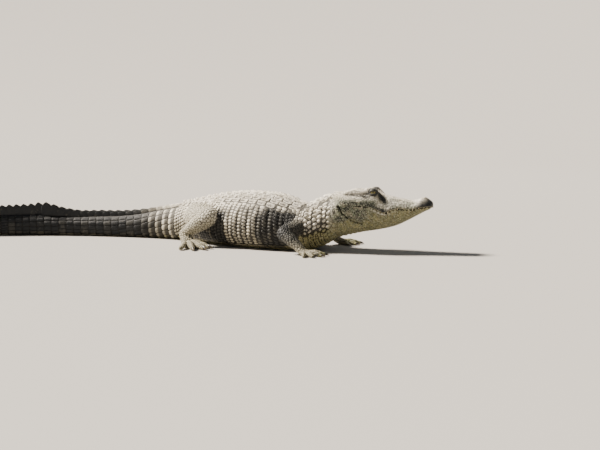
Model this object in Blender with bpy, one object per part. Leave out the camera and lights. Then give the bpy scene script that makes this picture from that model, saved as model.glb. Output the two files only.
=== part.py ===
"""American alligator, life size, lying on its belly with its head raised and its mouth shut.

Metres, +Z up. The head points to +X, the animal's right side faces -Y, and the floor is z = 0.
Every solid is placed by its station: the distance back from the snout tip along the spine.
"""
import math

import bmesh
import bpy
import numpy as np
from mathutils import Vector

# Clearance between solids that meet, and the level of the floor
GAP = 0.0004
CLAW_GAP = 0.0015
FLOOR = 0.0

# Lengths along the spine from the snout tip
HEAD_LENGTH = 0.420
FIRST_ROW = 0.580
VENT = 1.302
TOTAL_LENGTH = 2.730

# Rows of scutes on the trunk and whorls of scales round the tail
TRUNK_ROWS = 17
FRONT_ROW_PITCH = 0.0465
REAR_ROW_PITCH = 0.0385
TAIL_WHORLS = 40
MERGE_WHORL = 18
KEEL_PEAK = 0.7
VALLEY_LIFT = 0.4
END_MARGIN = 0.004


# Heading of the spine in degrees, turned from +X towards -Y, by station
HEADING = [(0.00, 12.0), (0.40, 15.0), (0.58, 24.0), (0.75, 34.0), (0.95, 41.0), (1.15, 40.5),
           (1.30, 31.0), (1.45, 21.0), (1.60, 13.5), (1.80, 8.0), (2.00, 1.0), (2.20, -8.0),
           (2.45, -17.0), (2.73, -26.0)]

# The flesh from neck to tail tip: station, half width, belly, widest level, back
BODY = [(0.42, 0.108, 0.066, 0.150, 0.266), (0.46, 0.107, 0.040, 0.130, 0.251),
        (0.50, 0.113, 0.018, 0.115, 0.231), (0.54, 0.121, 0.003, 0.104, 0.216),
        (0.57, 0.127, -0.004, 0.099, 0.206), (0.62, 0.139, -0.006, 0.095, 0.215),
        (0.68, 0.152, -0.007, 0.096, 0.232), (0.76, 0.168, -0.008, 0.098, 0.245),
        (0.88, 0.180, -0.008, 0.100, 0.245), (0.98, 0.174, -0.008, 0.100, 0.237),
        (1.10, 0.146, -0.008, 0.097, 0.217), (1.20, 0.117, -0.007, 0.092, 0.196),
        (1.30, 0.097, -0.006, 0.084, 0.175), (1.44, 0.080, -0.006, 0.072, 0.149),
        (1.53, 0.071, -0.005, 0.062, 0.128), (1.65, 0.060, -0.005, 0.054, 0.112),
        (1.75, 0.053, -0.004, 0.049, 0.106), (1.85, 0.047, -0.004, 0.046, 0.099),
        (1.95, 0.042, -0.004, 0.045, 0.098), (2.05, 0.037, -0.004, 0.045, 0.100),
        (2.20, 0.030, -0.003, 0.044, 0.098), (2.35, 0.023, -0.003, 0.038, 0.084),
        (2.50, 0.016, -0.002, 0.028, 0.060), (2.62, 0.010, -0.002, 0.017, 0.037),
        (2.70, 0.006, -0.001, 0.009, 0.019), (2.73, 0.003, 0.000, 0.005, 0.009)]

# Rise of the keels and crest scales above the flesh, and sideways place of the crest pair
KEEL_RISE = [(0.42, 0.008), (0.50, 0.011), (0.56, 0.005), (0.60, 0.007), (0.68, 0.010),
             (1.20, 0.010), (1.44, 0.014), (1.65, 0.019), (1.75, 0.023), (1.85, 0.027),
             (1.94, 0.042), (2.02, 0.062), (2.10, 0.053), (2.24, 0.050), (2.40, 0.038),
             (2.55, 0.024), (2.66, 0.011), (2.73, 0.002)]
CREST_OFFSET = [(1.30, 0.052), (1.50, 0.040), (1.70, 0.027), (1.90, 0.014), (2.00, 0.010)]

# The head: half width at the lip, lip level, top along the middle, underside of the jaw
LIP_WIDTH = [(0.000, 0.012), (0.004, 0.026), (0.012, 0.041), (0.030, 0.055), (0.055, 0.063),
             (0.090, 0.062), (0.125, 0.069), (0.165, 0.077), (0.200, 0.080), (0.250, 0.086),
             (0.300, 0.096), (0.360, 0.109), (0.400, 0.116), (0.420, 0.114)]
LIP_LEVEL = [(0.000, 0.211), (0.020, 0.212), (0.050, 0.209), (0.100, 0.200), (0.140, 0.203), (0.175, 0.196),
             (0.205, 0.185), (0.240, 0.197), (0.300, 0.215), (0.360, 0.216), (0.420, 0.205)]
HEAD_TOP = [(0.000, 0.219), (0.004, 0.228), (0.014, 0.236), (0.030, 0.242), (0.046, 0.243),
            (0.064, 0.239), (0.086, 0.235), (0.150, 0.243), (0.184, 0.251), (0.218, 0.258), (0.248, 0.266),
            (0.300, 0.271), (0.365, 0.269), (0.390, 0.270), (0.420, 0.268)]
CHIN = [(0.005, 0.203), (0.015, 0.195), (0.032, 0.187), (0.060, 0.172), (0.100, 0.150), (0.168, 0.118),
        (0.236, 0.101), (0.304, 0.090), (0.370, 0.076), (0.420, 0.064)]
HEAD_STATIONS = ([0.0, 0.005, 0.014, 0.028, 0.046] + list(np.linspace(0.070, 0.208, 6))
                 + [0.230, 0.250, 0.268, 0.284, 0.325, 0.362, 0.378, 0.400, HEAD_LENGTH - GAP / 2])
JAW_INSET = 0.0085
JAW_START = 0.005
TABLE_HALF_WIDTH = 0.056

EYE_STATION, EYE_SIDE, EYE_LEVEL, EYE_RADIUS = 0.262, 0.0455, 0.2665, 0.0150
ORBIT_STATION = 0.256
ORBIT_RISE = 0.026
NOSTRIL_STATION, NOSTRIL_RISE = 0.040, 0.007

TOOTH_STATIONS = [0.033, 0.055, 0.083, 0.100, 0.148, 0.190, 0.206]
TOOTH_LENGTH, TOOTH_RADIUS = 0.010, 0.0028

# Limb joints as station, distance out from the spine plane, height; radii in and across
FORE_JOINTS = [(0.575, 0.085, 0.110), (0.597, 0.207, 0.090), (0.525, 0.234, 0.034)]
HIND_JOINTS = [(1.145, 0.070, 0.118), (0.968, 0.186, 0.140), (1.088, 0.232, 0.060)]
FORE_RADII = [(0.050, 0.045), (0.036, 0.033), (0.025, 0.020)]
HIND_RADII = [(0.082, 0.077), (0.048, 0.043), (0.029, 0.025)]

# Digits: turn from the foot's own heading, length beyond the palm, thickness, claw length
FORE_DIGITS = [(-52, 0.044, 0.0100, 0.020), (-26, 0.060, 0.0105, 0.021), (2, 0.064, 0.0105, 0.021),
               (30, 0.058, 0.0095, 0.0), (58, 0.044, 0.0085, 0.0)]
HIND_DIGITS = [(-24, 0.078, 0.0135, 0.026), (-6, 0.100, 0.0140, 0.027), (13, 0.106, 0.0135, 0.026),
               (34, 0.092, 0.0115, 0.0)]
FORE_PALM, HIND_PALM = 0.050, 0.088
BLUNT_START = 0.86

# Sections: points round the body, the head's arch, the tail lengths and a limb
BODY_POINTS, HEAD_POINTS, LIMB_POINTS, DIGIT_POINTS, CLAW_POINTS = 24, 13, 10, 6, 5
TAIL_LENGTHS = [("tail_base", 0, 9, 16), ("tail_middle", 9, 19, 14),
                ("tail_rear", 19, 29, 12), ("tail_tip", 29, 40, 8)]


def remove_everything():
    for obj in list(bpy.data.objects):
        bpy.data.objects.remove(obj, do_unlink=True)


def new_collection(name):
    collection = bpy.data.collections.new(name)
    bpy.context.scene.collection.children.link(collection)
    return collection


def hide_material(name, colour, roughness):
    material = bpy.data.materials.new(name)
    material.use_nodes = True
    shader = material.node_tree.nodes["Principled BSDF"]
    shader.inputs["Base Color"].default_value = (*colour, 1.0)
    shader.inputs["Roughness"].default_value = roughness
    shader.inputs["Metallic"].default_value = 0.0
    return material


def along(stations, s):
    """Read a table at s on a smooth monotone cubic through its points."""
    table = np.array(stations, float)
    xs, ys = table[:, 0], table[:, 1]
    steps = np.diff(xs)
    slopes = np.diff(ys) / steps
    same_way = slopes[:-1] * slopes[1:] > 0
    inner = np.zeros(len(slopes) - 1)
    weights = 3.0 * (steps[:-1] + steps[1:])
    with np.errstate(divide="ignore", invalid="ignore"):
        mean = weights / ((2 * steps[1:] + steps[:-1]) / slopes[:-1]
                          + (steps[1:] + 2 * steps[:-1]) / slopes[1:])
    inner[same_way] = mean[same_way]
    tangents = np.concatenate([[slopes[0]], inner, [slopes[-1]]])
    s = np.clip(np.asarray(s, float), xs[0], xs[-1])
    k = np.clip(np.searchsorted(xs, s) - 1, 0, len(steps) - 1)
    t = (s - xs[k]) / steps[k]
    return (ys[k] * (1 + 2 * t) * (1 - t) ** 2 + tangents[k] * steps[k] * t * (1 - t) ** 2
            + ys[k + 1] * t * t * (3 - 2 * t) + tangents[k + 1] * steps[k] * t * t * (t - 1))


def body_value(column, s):
    return along([(row[0], row[column]) for row in BODY], s)


# The spine's plan: headings summed in short steps from the snout tip
STEP = 0.002
SPINE_S = np.arange(0.0, TOTAL_LENGTH + STEP, STEP)
SPINE_HEADING = np.radians(along(HEADING, SPINE_S))
SPINE_X = -np.concatenate([[0.0], np.cumsum(np.cos(SPINE_HEADING[:-1]) * STEP)])
SPINE_Y = np.concatenate([[0.0], np.cumsum(np.sin(SPINE_HEADING[:-1]) * STEP)])


def place(s, right, z):
    """World point at station s, a distance out to the animal's right, and height z."""
    turn = np.interp(s, SPINE_S, SPINE_HEADING)
    x = np.interp(s, SPINE_S, SPINE_X) - np.sin(turn) * right
    y = np.interp(s, SPINE_S, SPINE_Y) - np.cos(turn) * right
    return Vector((float(x), float(y), float(z)))


def row_fronts():
    """Stations of the front edges of the trunk rows and the tail whorls, in order."""
    pitches = np.linspace(FRONT_ROW_PITCH, REAR_ROW_PITCH, TRUNK_ROWS)
    trunk = FIRST_ROW + np.concatenate([[0.0], np.cumsum(pitches)])
    trunk *= VENT / trunk[-1]
    trunk += (FIRST_ROW - trunk[0]) * (VENT - trunk) / (VENT - trunk[0])
    shape = np.linspace(1.12, 0.72, TAIL_WHORLS)
    shape *= (TOTAL_LENGTH - VENT) / shape.sum()
    tail = VENT + np.cumsum(shape)
    return np.concatenate([trunk, tail])


ROWS = row_fronts()
WHORL_START = TRUNK_ROWS


def superellipse(angle, half_width, height, power):
    """Sideways and upward reach of a rounded oblong at an angle from its side."""
    c, s = math.cos(angle), math.sin(angle)
    across = math.copysign(abs(c) ** (2.0 / power), c) * half_width
    up = math.copysign(abs(s) ** (2.0 / power), s) * height
    return across, up


def body_ring(s, lift, count, swell=0.0):
    """Cross-section of the neck or trunk: keels stand at every other point of the back."""
    width, belly, side, back = (float(body_value(c, s)) for c in (1, 2, 3, 4))
    rise = float(along(KEEL_RISE, s)) * lift
    ring = []
    for k in range(count):
        angle = 2.0 * math.pi * k / count
        if angle < math.pi:
            across, up = superellipse(angle, width + swell, back - side + swell, 2.25)
            from_top = abs(k - count // 4)
            if from_top % 2 == 1 and from_top < count // 5 + 1:
                up += rise
        else:
            across, up = superellipse(angle, width + swell, side - belly + swell, 2.7)
        ring.append(place(s, across, max(side + up, FLOOR - swell)))
    return ring


def tail_ring(s, lift, count):
    """Cross-section of the tail: two crest rows that run together into one fin."""
    width, belly, side, back = (float(body_value(c, s)) for c in (1, 2, 3, 4))
    rise = float(along(KEEL_RISE, s)) * lift
    single = s >= ROWS[WHORL_START + MERGE_WHORL]
    ring = []
    for k in range(count):
        angle = 2.0 * math.pi * k / count + math.pi * (0.5 - 2.0 * (count // 4) / count)
        power = 2.0 if angle < math.pi else 2.6
        height = back - side if angle < math.pi else side - belly
        across, up = superellipse(angle, width, height, power)
        from_top = k - count // 4
        if abs(from_top) == 1:
            offset = width * 0.22 if single else float(along(CREST_OFFSET, s))
            across = -math.copysign(min(offset, width * 0.62), from_top)
            up = (back - side) * (1 - (across / width) ** 2) ** 0.5 + (0.0 if single else rise)
        if from_top == 0 and single:
            up += rise
        ring.append(place(s, across, max(side + up, FLOOR)))
    return ring


def loft(name, rings, collection, material=None):
    """Closed solid through rings with the same number of points, every quad cut the same way."""
    mesh = bpy.data.meshes.new(name)
    work = bmesh.new()
    grid = [[work.verts.new(point) for point in ring] for ring in rings]
    count = len(grid[0])
    for near, far in zip(grid[:-1], grid[1:]):
        for k in range(count):
            following = (k + 1) % count
            work.faces.new((near[k], near[following], far[following]))
            work.faces.new((near[k], far[following], far[k]))
    work.faces.new(grid[0])
    work.faces.new(grid[-1])
    bmesh.ops.remove_doubles(work, verts=work.verts, dist=1e-6)
    bmesh.ops.recalc_face_normals(work, faces=work.faces)
    work.to_mesh(mesh)
    work.free()
    if material:
        mesh.materials.append(material)
    obj = bpy.data.objects.new(name, mesh)
    collection.objects.link(obj)
    return obj


def as_cutter(obj):
    obj.display_type = "WIRE"
    obj.hide_render = True
    return obj


def boolean(obj, tool, operation, name):
    modifier = obj.modifiers.new(name, "BOOLEAN")
    modifier.operation = operation
    modifier.object = tool
    modifier.solver = "EXACT"


def row_stations(first, last, start, end):
    """Two stations for each row from first to last, kept between start and end."""
    stations = []
    for k in range(first, last):
        front, pitch = ROWS[k], ROWS[k + 1] - ROWS[k]
        stations += [(front, VALLEY_LIFT), (front + KEEL_PEAK * pitch, 1.0)]
    kept = [(s, lift) for s, lift in stations if start + END_MARGIN < s < end - END_MARGIN]
    return [(start, VALLEY_LIFT)] + kept + [(end, VALLEY_LIFT)]


def head_height(s, right, lip, top, width):
    """Top of the head: an arch over the lips, with orbits, skull table and nose mound."""
    across = min(abs(right) / width, 1.0)
    arch = (1.0 - across ** 2.3) ** 0.62
    level = lip + (top - lip) * arch
    orbit = math.exp(-((s - ORBIT_STATION) / 0.030) ** 2 - ((abs(right) - 0.041) / 0.017) ** 2)
    nose = math.exp(-((s - NOSTRIL_STATION) / 0.016) ** 2 - (right / 0.024) ** 2)
    back = 1.0 / (1.0 + math.exp(-(s - 0.272) / 0.006)) / (1.0 + math.exp((s - 0.379) / 0.006))
    edge = math.exp(-((abs(right) - TABLE_HALF_WIDTH + 0.010) / 0.014) ** 2)
    return level + ORBIT_RISE * orbit + NOSTRIL_RISE * nose + 0.014 * back * edge


def skull_ring(s):
    lip, top = float(along(LIP_LEVEL, s)), float(along(HEAD_TOP, s))
    width = float(along(LIP_WIDTH, s))
    ring = []
    for k in range(HEAD_POINTS):
        right = width * math.cos(math.pi * k / (HEAD_POINTS - 1))
        ring.append(place(s, right, head_height(s, right, lip, top, width)))
    return ring


def jaw_ring(s):
    lip, chin = float(along(LIP_LEVEL, s)) - GAP, float(along(CHIN, s))
    width = float(along(LIP_WIDTH, s)) - JAW_INSET
    ring = []
    for k in range(HEAD_POINTS):
        angle = -math.pi * k / (HEAD_POINTS - 1)
        across, down = superellipse(angle, width, lip - chin, 2.3)
        ring.append(place(s, across, lip + down))
    return ring


def tooth(s, side):
    """Corners of one small four-sided cone that hangs from the upper lip."""
    width, lip = float(along(LIP_WIDTH, s)), float(along(LIP_LEVEL, s))
    bottom_ring, top_ring = [], []
    for k in range(4):
        turn = math.pi * (k + 0.5) / 2.0
        for ring, z, radius in ((bottom_ring, lip - TOOTH_LENGTH, 0.0006),
                                (top_ring, lip + 0.006, TOOTH_RADIUS)):
            right = side * (width - 0.0042) + radius * math.cos(turn)
            ring.append(place(s + radius * math.sin(turn), right, z))
    return [bottom_ring, top_ring]


def make_head(parts, cutters, hide, ivory, eye_finish):
    head = loft("head", [skull_ring(s) for s in HEAD_STATIONS], parts, hide)
    for side, word in ((1, "right"), (-1, "left")):
        centre = place(EYE_STATION, side * EYE_SIDE, EYE_LEVEL)
        for radius, name, collection in ((EYE_RADIUS, "eye_" + word, parts),
                                         (EYE_RADIUS + GAP, "socket_" + word, cutters)):
            bpy.ops.mesh.primitive_uv_sphere_add(segments=10, ring_count=6, radius=radius,
                                                 location=centre)
            ball = bpy.context.object
            ball.name = name
            for owner in list(ball.users_collection):
                owner.objects.unlink(ball)
            collection.objects.link(ball)
            if collection is cutters:
                boolean(head, as_cutter(ball), "DIFFERENCE", name)
            else:
                ball.data.materials.append(eye_finish)
        for number, s in enumerate(TOOTH_STATIONS):
            cone = loft(f"tooth_{word}_{number}", tooth(s, side), cutters, ivory)
            boolean(head, as_cutter(cone), "UNION", cone.name)
    loft("lower_jaw", [jaw_ring(s) for s in HEAD_STATIONS if s > JAW_START], parts, hide)


def make_trunk(parts, cutters, hide):
    neck = [(HEAD_LENGTH + GAP / 2, 0.3), (0.440, 0.6), (0.458, 0.2), (0.474, 1.0),
            (0.492, 0.3), (0.512, 1.0), (0.534, 0.2), (0.556, 0.6), (FIRST_ROW - GAP / 2, 0.2)]
    loft("neck", [body_ring(s, lift, BODY_POINTS) for s, lift in neck], parts, hide)
    for name, first, last in (("trunk_chest", 0, 5), ("trunk_belly", 5, 11), ("trunk_hips", 11, 17)):
        start, end = ROWS[first] + GAP / 2, ROWS[last] - GAP / 2
        rings = [body_ring(s, lift, BODY_POINTS)
                 for s, lift in row_stations(first, last, start, end)]
        loft(name, rings, parts, hide)
    swell = GAP
    stations = [0.44, 0.47, 0.50, 0.53] + [s for s, _ in row_stations(0, 17, 0.56, 1.32)]
    lifts = [0.6, 0.6, 1.0, 0.5] + [lift for _, lift in row_stations(0, 17, 0.56, 1.32)]
    shell = [body_ring(s, lift, BODY_POINTS, swell) for s, lift in zip(stations, lifts)]
    return as_cutter(loft("body_shell", shell, cutters))


def make_tail(parts, hide):
    for name, first, last, count in TAIL_LENGTHS:
        start = ROWS[WHORL_START + first] + GAP / 2
        end = ROWS[WHORL_START + last] - GAP / 2
        rings = [tail_ring(s, lift, count) for s, lift
                 in row_stations(WHORL_START + first, WHORL_START + last, start, end)]
        loft(name, rings, parts, hide)


def tube(path, radii, points=LIMB_POINTS, swell=0.0, flat=None):
    """Rings round a path of points; each pair of radii is the half width and half thickness."""
    rings = []
    for k, point in enumerate(path):
        ahead = path[min(k + 1, len(path) - 1)] - path[max(k - 1, 0)]
        ahead.normalize()
        up = Vector((0, 0, 1)) if abs(ahead.z) < 0.95 else Vector((0, 1, 0))
        side = ahead.cross(up).normalized()
        up = side.cross(ahead).normalized()
        wide, thick = (radius + swell for radius in radii[k])
        ring = []
        for step in range(points):
            angle = 2.0 * math.pi * step / points
            spot = point + side * (wide * math.cos(angle)) + up * (thick * math.sin(angle))
            if flat is not None:
                spot.z = max(spot.z, flat)
            ring.append(spot)
        rings.append(ring)
    return rings


def capsule(start, end, near, far, bulge, swell=0.0):
    """Limb segment: it starts blunt, inside its neighbour, and ends on a quarter circle."""
    axis = (end - start).normalized()
    path, radii = [], []
    for t in (0.0, 0.40, 1.0):
        fat = (1.0 if t else BLUNT_START) + bulge * math.sin(math.pi * t)
        path.append(start.lerp(end, t) - axis * (0.0 if t else swell))
        radii.append(tuple((a + (b - a) * t) * fat for a, b in zip(near, far)))
    for reach, scale in ((0.52, 0.85), (0.92, 0.40)):
        path.append(end + axis * far[0] * reach + axis * swell)
        radii.append((far[0] * scale, far[1] * scale))
    return tube(path, radii, swell=swell)


def make_foot(name, wrist, heading, palm, digits, size, side, parts, cutters, hide, horn):
    """Palm with its fan of digits, joined, and cut off flat where it rests on the floor."""
    def direction(turn):
        angle = heading + side * math.radians(turn)
        return Vector((math.cos(angle), -math.sin(angle), 0.0))

    ahead = direction(0.0)
    across = direction(90.0)
    base = Vector((wrist.x, wrist.y, 0.0))
    half, thick = size
    spots = [(0.0, wrist.z * 0.80, 0.90, 0.85), (0.22, wrist.z * 0.62, 1.05, 1.00),
             (0.50, wrist.z * 0.38, 1.18, 0.90), (0.85, 0.010, 1.42, 0.70),
             (1.12, 0.006, 1.30, 0.45)]
    path = [base + ahead * palm * reach + Vector((0, 0, z)) for reach, z, _, _ in spots]
    radii = [(half * wide, thick * deep) for _, _, wide, deep in spots]
    foot = loft(name, tube(path, radii), parts, hide)
    for number, (turn, length, radius, claw) in enumerate(digits, 1):
        outward = direction(turn)
        root = base + ahead * palm * 0.55 + across * half * 0.55 * math.sin(math.radians(turn))
        joints = [(0.0, 1.25, 1.3), (0.50, 1.05, 1.35), (1.0, 0.72, 0.80)]
        reach = palm * 0.45 + length
        line = [root + outward * reach * t + Vector((0, 0, radius * lift - 0.0015))
                for t, _, lift in joints]
        sizes = [(radius * wide, radius * wide * 0.86) for _, wide, _ in joints]
        if not claw:
            line.append(line[-1] + outward * radius * 0.5)
            sizes.append((radius * 0.32, radius * 0.28))
        digit = loft(f"{name}_digit_{number}", tube(line, sizes, DIGIT_POINTS), cutters, hide)
        boolean(foot, as_cutter(digit), "UNION", digit.name)
        if claw:
            tip = line[-1]
            horn_line = [tip + outward * (CLAW_GAP + claw * t) + Vector((0, 0, claw * rise))
                         for t, rise in ((0.0, 0.0), (0.55, 0.03), (1.0, -0.17))]
            horn_sizes = [(radius * w, radius * w * 1.1) for w in (0.46, 0.34, 0.06)]
            loft(f"{name}_claw_{number}", tube(horn_line, horn_sizes, CLAW_POINTS, flat=0.001),
                 parts, horn)
    bpy.ops.mesh.primitive_cube_add(size=1.0, location=(base.x, base.y, -0.5))
    floor = bpy.context.object
    floor.name = name + "_floor"
    for owner in list(floor.users_collection):
        owner.objects.unlink(floor)
    cutters.objects.link(floor)
    boolean(foot, as_cutter(floor), "DIFFERENCE", "floor")
    return foot


def make_limb(word, side, kind, shell, parts, cutters, hide, horn):
    """Upper segment cut to the body, lower segment cut to the upper one, then the foot."""
    fore = kind == "fore"
    joints = FORE_JOINTS if fore else HIND_JOINTS
    radii = FORE_RADII if fore else HIND_RADII
    top, bend, end = (place(s, side * right, z) for s, right, z in joints)
    names = ("upper_arm", "forearm", "hand") if fore else ("thigh", "shank", "foot")
    upper_name, lower_name, foot_name = (f"{word}_{name}" for name in names)

    upper = loft(upper_name, capsule(top, bend, radii[0], radii[1], 0.05), parts, hide)
    boolean(upper, shell, "DIFFERENCE", "body")
    lower = loft(lower_name, capsule(bend, end, radii[1], radii[2], 0.10), parts, hide)
    upper_shell = as_cutter(loft(upper_name + "_shell",
                                 capsule(top, bend, radii[0], radii[1], 0.05, GAP), cutters))
    boolean(lower, upper_shell, "DIFFERENCE", "upper")
    boolean(lower, shell, "DIFFERENCE", "body")

    turn = float(np.interp(joints[2][0], SPINE_S, SPINE_HEADING))
    splay = math.radians(12.0 if fore else 24.0)
    foot = make_foot(foot_name, end, turn + side * splay, FORE_PALM if fore else HIND_PALM,
                     FORE_DIGITS if fore else HIND_DIGITS, radii[2], side,
                     parts, cutters, hide, horn)
    lower_shell = as_cutter(loft(lower_name + "_shell",
                                 capsule(bend, end, radii[1], radii[2], 0.10, GAP), cutters))
    boolean(foot, lower_shell, "DIFFERENCE", "lower")


def centre_plan(parts):
    """Move everything so that the origin is under the middle of the bounding box."""
    depsgraph = bpy.context.evaluated_depsgraph_get()
    corners = []
    for obj in parts.objects:
        shown = obj.evaluated_get(depsgraph)
        corners += [obj.matrix_world @ Vector(corner) for corner in shown.bound_box]
    low = [min(corner[axis] for corner in corners) for axis in range(2)]
    high = [max(corner[axis] for corner in corners) for axis in range(2)]
    shift = Vector((-(low[0] + high[0]) / 2, -(low[1] + high[1]) / 2, 0.0))
    for obj in bpy.data.objects:
        obj.location += shift
    return shift


remove_everything()
alligator = new_collection("american_alligator")
helpers = new_collection("cutters")
hide = hide_material("grey_olive_hide", (0.165, 0.160, 0.125), 0.75)
horn = hide_material("dark_claw_horn", (0.030, 0.026, 0.022), 0.45)
ivory = hide_material("tooth_ivory", (0.62, 0.56, 0.42), 0.40)
eye_finish = hide_material("eye_gloss", (0.060, 0.050, 0.020), 0.12)

make_head(alligator, helpers, hide, ivory, eye_finish)
body_shell = make_trunk(alligator, helpers, hide)
make_tail(alligator, hide)
for limb_side, limb_word in ((1, "right"), (-1, "left")):
    for limb_kind in ("fore", "hind"):
        make_limb(limb_word, limb_side, limb_kind, body_shell, alligator, helpers, hide, horn)
bpy.context.view_layer.update()
centre_plan(alligator)
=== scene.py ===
"""The looks of a life-size American alligator that lies on its belly with its head raised.

Metres, +Z up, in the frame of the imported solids: the head points to +X, the animal's right side
faces -Y and the floor is z = 0. A place on the animal is given by its station, the distance back
from the snout tip along the spine, and by the distance round the body from the middle of the back.
"""
import math

import bpy
import numpy as np
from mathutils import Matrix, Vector
from mathutils.bvhtree import BVHTree
from mathutils.kdtree import KDTree


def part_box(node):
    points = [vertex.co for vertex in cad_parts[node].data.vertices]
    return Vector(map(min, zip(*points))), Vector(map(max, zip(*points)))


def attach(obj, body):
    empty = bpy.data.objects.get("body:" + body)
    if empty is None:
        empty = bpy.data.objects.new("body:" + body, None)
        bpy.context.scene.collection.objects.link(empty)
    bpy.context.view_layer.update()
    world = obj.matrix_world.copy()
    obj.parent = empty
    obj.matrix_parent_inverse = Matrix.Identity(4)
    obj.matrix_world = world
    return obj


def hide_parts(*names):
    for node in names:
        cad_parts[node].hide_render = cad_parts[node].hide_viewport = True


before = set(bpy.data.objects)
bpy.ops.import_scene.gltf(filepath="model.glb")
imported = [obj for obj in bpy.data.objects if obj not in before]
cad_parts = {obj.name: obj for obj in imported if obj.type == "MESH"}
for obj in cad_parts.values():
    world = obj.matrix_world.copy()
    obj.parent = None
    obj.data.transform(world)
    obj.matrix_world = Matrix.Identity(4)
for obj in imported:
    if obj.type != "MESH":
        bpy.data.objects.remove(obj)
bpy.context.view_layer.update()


# Camera, floor and lamps.
# The camera stands off the right side, a little above the back, and looks down by six degrees.
# One broad lamp stands high on the left and rakes the flanks; two weak ones fill the shadows.
SIDES = ((1, "right"), (-1, "left"))
FOCAL_PIXELS, PICTURE_WIDTH, SENSOR_WIDTH = 1690.0, 600.0, 36.0
CAMERA_PITCH = math.radians(6.0)
CAMERA_FROM_EYES = Vector((-0.3345, -7.5168, 0.6425))
eye_middles = {side: sum(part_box(f"eye_{word}"), Vector()) / 2.0 for side, word in SIDES}
EYES = (eye_middles[1] + eye_middles[-1]) / 2.0
EYE_CENTRES = {side: np.array(middle) for side, middle in eye_middles.items()}

camera_data = bpy.data.cameras.new("camera")
camera_data.sensor_width = SENSOR_WIDTH
camera_data.lens = FOCAL_PIXELS / PICTURE_WIDTH * SENSOR_WIDTH
camera = bpy.data.objects.new("camera", camera_data)
camera.location = EYES + CAMERA_FROM_EYES
camera.rotation_euler = (math.pi / 2.0 - CAMERA_PITCH, 0.0, 0.0)
bpy.context.scene.collection.objects.link(camera)
bpy.context.scene.camera = camera


def linear(hex_colour):
    """sRGB hex text to a linear RGBA tuple."""
    channels = [int(hex_colour[k:k + 2], 16) / 255.0 for k in (1, 3, 5)]
    return tuple(c / 12.92 if c <= 0.04045 else ((c + 0.055) / 1.055) ** 2.4 for c in channels) + (1.0,)


def add_node(tree, kind, settings=None, inputs=None):
    """Add one node, set its properties and sockets, and link every socket given as an output."""
    node = tree.nodes.new(kind)
    for name, value in (settings or {}).items():
        setattr(node, name, value)
    for key, value in (inputs or {}).items():
        if isinstance(value, bpy.types.NodeSocket):
            tree.links.new(value, node.inputs[key])
        else:
            node.inputs[key].default_value = value
    return node


def new_material(name):
    """An empty node material: the material, its tree and its shader."""
    material = bpy.data.materials.new(name)
    material.use_nodes = True
    return material, material.node_tree, material.node_tree.nodes["Principled BSDF"]


def mesh_object(name, points, faces, material=None):
    """One smooth object from an array of points and arrays of faces with 3 or 4 corners each."""
    sizes = np.concatenate([np.full(len(block), block.shape[1]) for block in faces])
    corners = np.concatenate([block.ravel() for block in faces])
    mesh = bpy.data.meshes.new(name)
    mesh.vertices.add(len(points))
    mesh.vertices.foreach_set("co", np.asarray(points, np.float32).ravel())
    mesh.loops.add(len(corners))
    mesh.loops.foreach_set("vertex_index", corners.astype(np.int32))
    mesh.polygons.add(len(sizes))
    mesh.polygons.foreach_set("loop_start", (np.cumsum(sizes) - sizes).astype(np.int32))
    mesh.polygons.foreach_set("use_smooth", np.ones(len(sizes), bool))
    mesh.update(calc_edges=True)
    mesh.validate()
    if material:
        mesh.materials.append(material)
    obj = bpy.data.objects.new(name, mesh)
    bpy.context.scene.collection.objects.link(obj)
    return obj


def ring_quads(grid):
    """Quads between following rows of a grid of point numbers whose rows close on themselves."""
    after = np.roll(grid, -1, 1)
    return np.stack([grid[:-1], after[:-1], after[1:], grid[1:]], -1).reshape(-1, 4)


def tube_faces(rings, count):
    """Quads between rings of the same count, and a fan to one extra point at each end."""
    grid = np.arange(rings * count).reshape(rings, count)
    after = np.roll(grid, -1, 1)
    ends = np.full((2, count), [[rings * count], [rings * count + 1]])
    return ring_quads(grid), np.concatenate([np.stack([ends[0], after[0], grid[0]], 1),
                                             np.stack([ends[1], grid[-1], after[-1]], 1)])


def outward(points, quads, fans):
    """The same faces, turned round if the closed shape they make has its inside out."""
    triangles = np.concatenate([quads[:, :3], quads[:, [0, 2, 3]], fans])
    a, b, c = (points[triangles[:, k]] for k in range(3))
    if np.einsum("ij,ij->", a - points.mean(0), np.cross(b - points.mean(0), c - points.mean(0))) < 0:
        return quads[:, ::-1], fans[:, ::-1]
    return quads, fans


def tube(rings):
    """Points and outward faces of the closed shape through rings of points."""
    points = np.concatenate([rings.reshape(-1, 3), rings[0].mean(0)[None], rings[-1].mean(0)[None]])
    return points, outward(points, *tube_faces(*rings.shape[:2]))


# Painted board, matt and pale, laid as a wide dish whose rim rises far off, so that no edge shows.
# Matt emulsion scatters the light and shows only soft shadows.
DISH_FLAT, DISH_RADIUS, DISH_RISE, DISH_DROP, DISH_ROUND = 9.0, 34.0, 3.4, 0.0006, 96
reach = np.concatenate([[0.5, 4.0], np.linspace(DISH_FLAT, DISH_RADIUS, 18)])[:, None]
turn = np.linspace(0.0, 2.0 * math.pi, DISH_ROUND, endpoint=False)[None, :]
climb = DISH_RISE * np.clip((reach - DISH_FLAT) / (DISH_RADIUS - DISH_FLAT), 0.0, 1.0) ** 2 - DISH_DROP
dish = np.stack(np.broadcast_arrays(reach * np.cos(turn), reach * np.sin(turn), climb), -1).reshape(-1, 3)
quads, fans = tube_faces(len(reach), DISH_ROUND)
board_paint, _, board_shader = new_material("pale_matt_board_paint")
board_shader.inputs["Base Color"].default_value = linear("#a4a19c")
board_shader.inputs["Roughness"].default_value = 0.9
mesh_object("floor", np.vstack([dish, [[0.0, 0.0, -DISH_DROP]]]),
                     [quads[:, ::-1], fans[:DISH_ROUND, ::-1]], board_paint)


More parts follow.
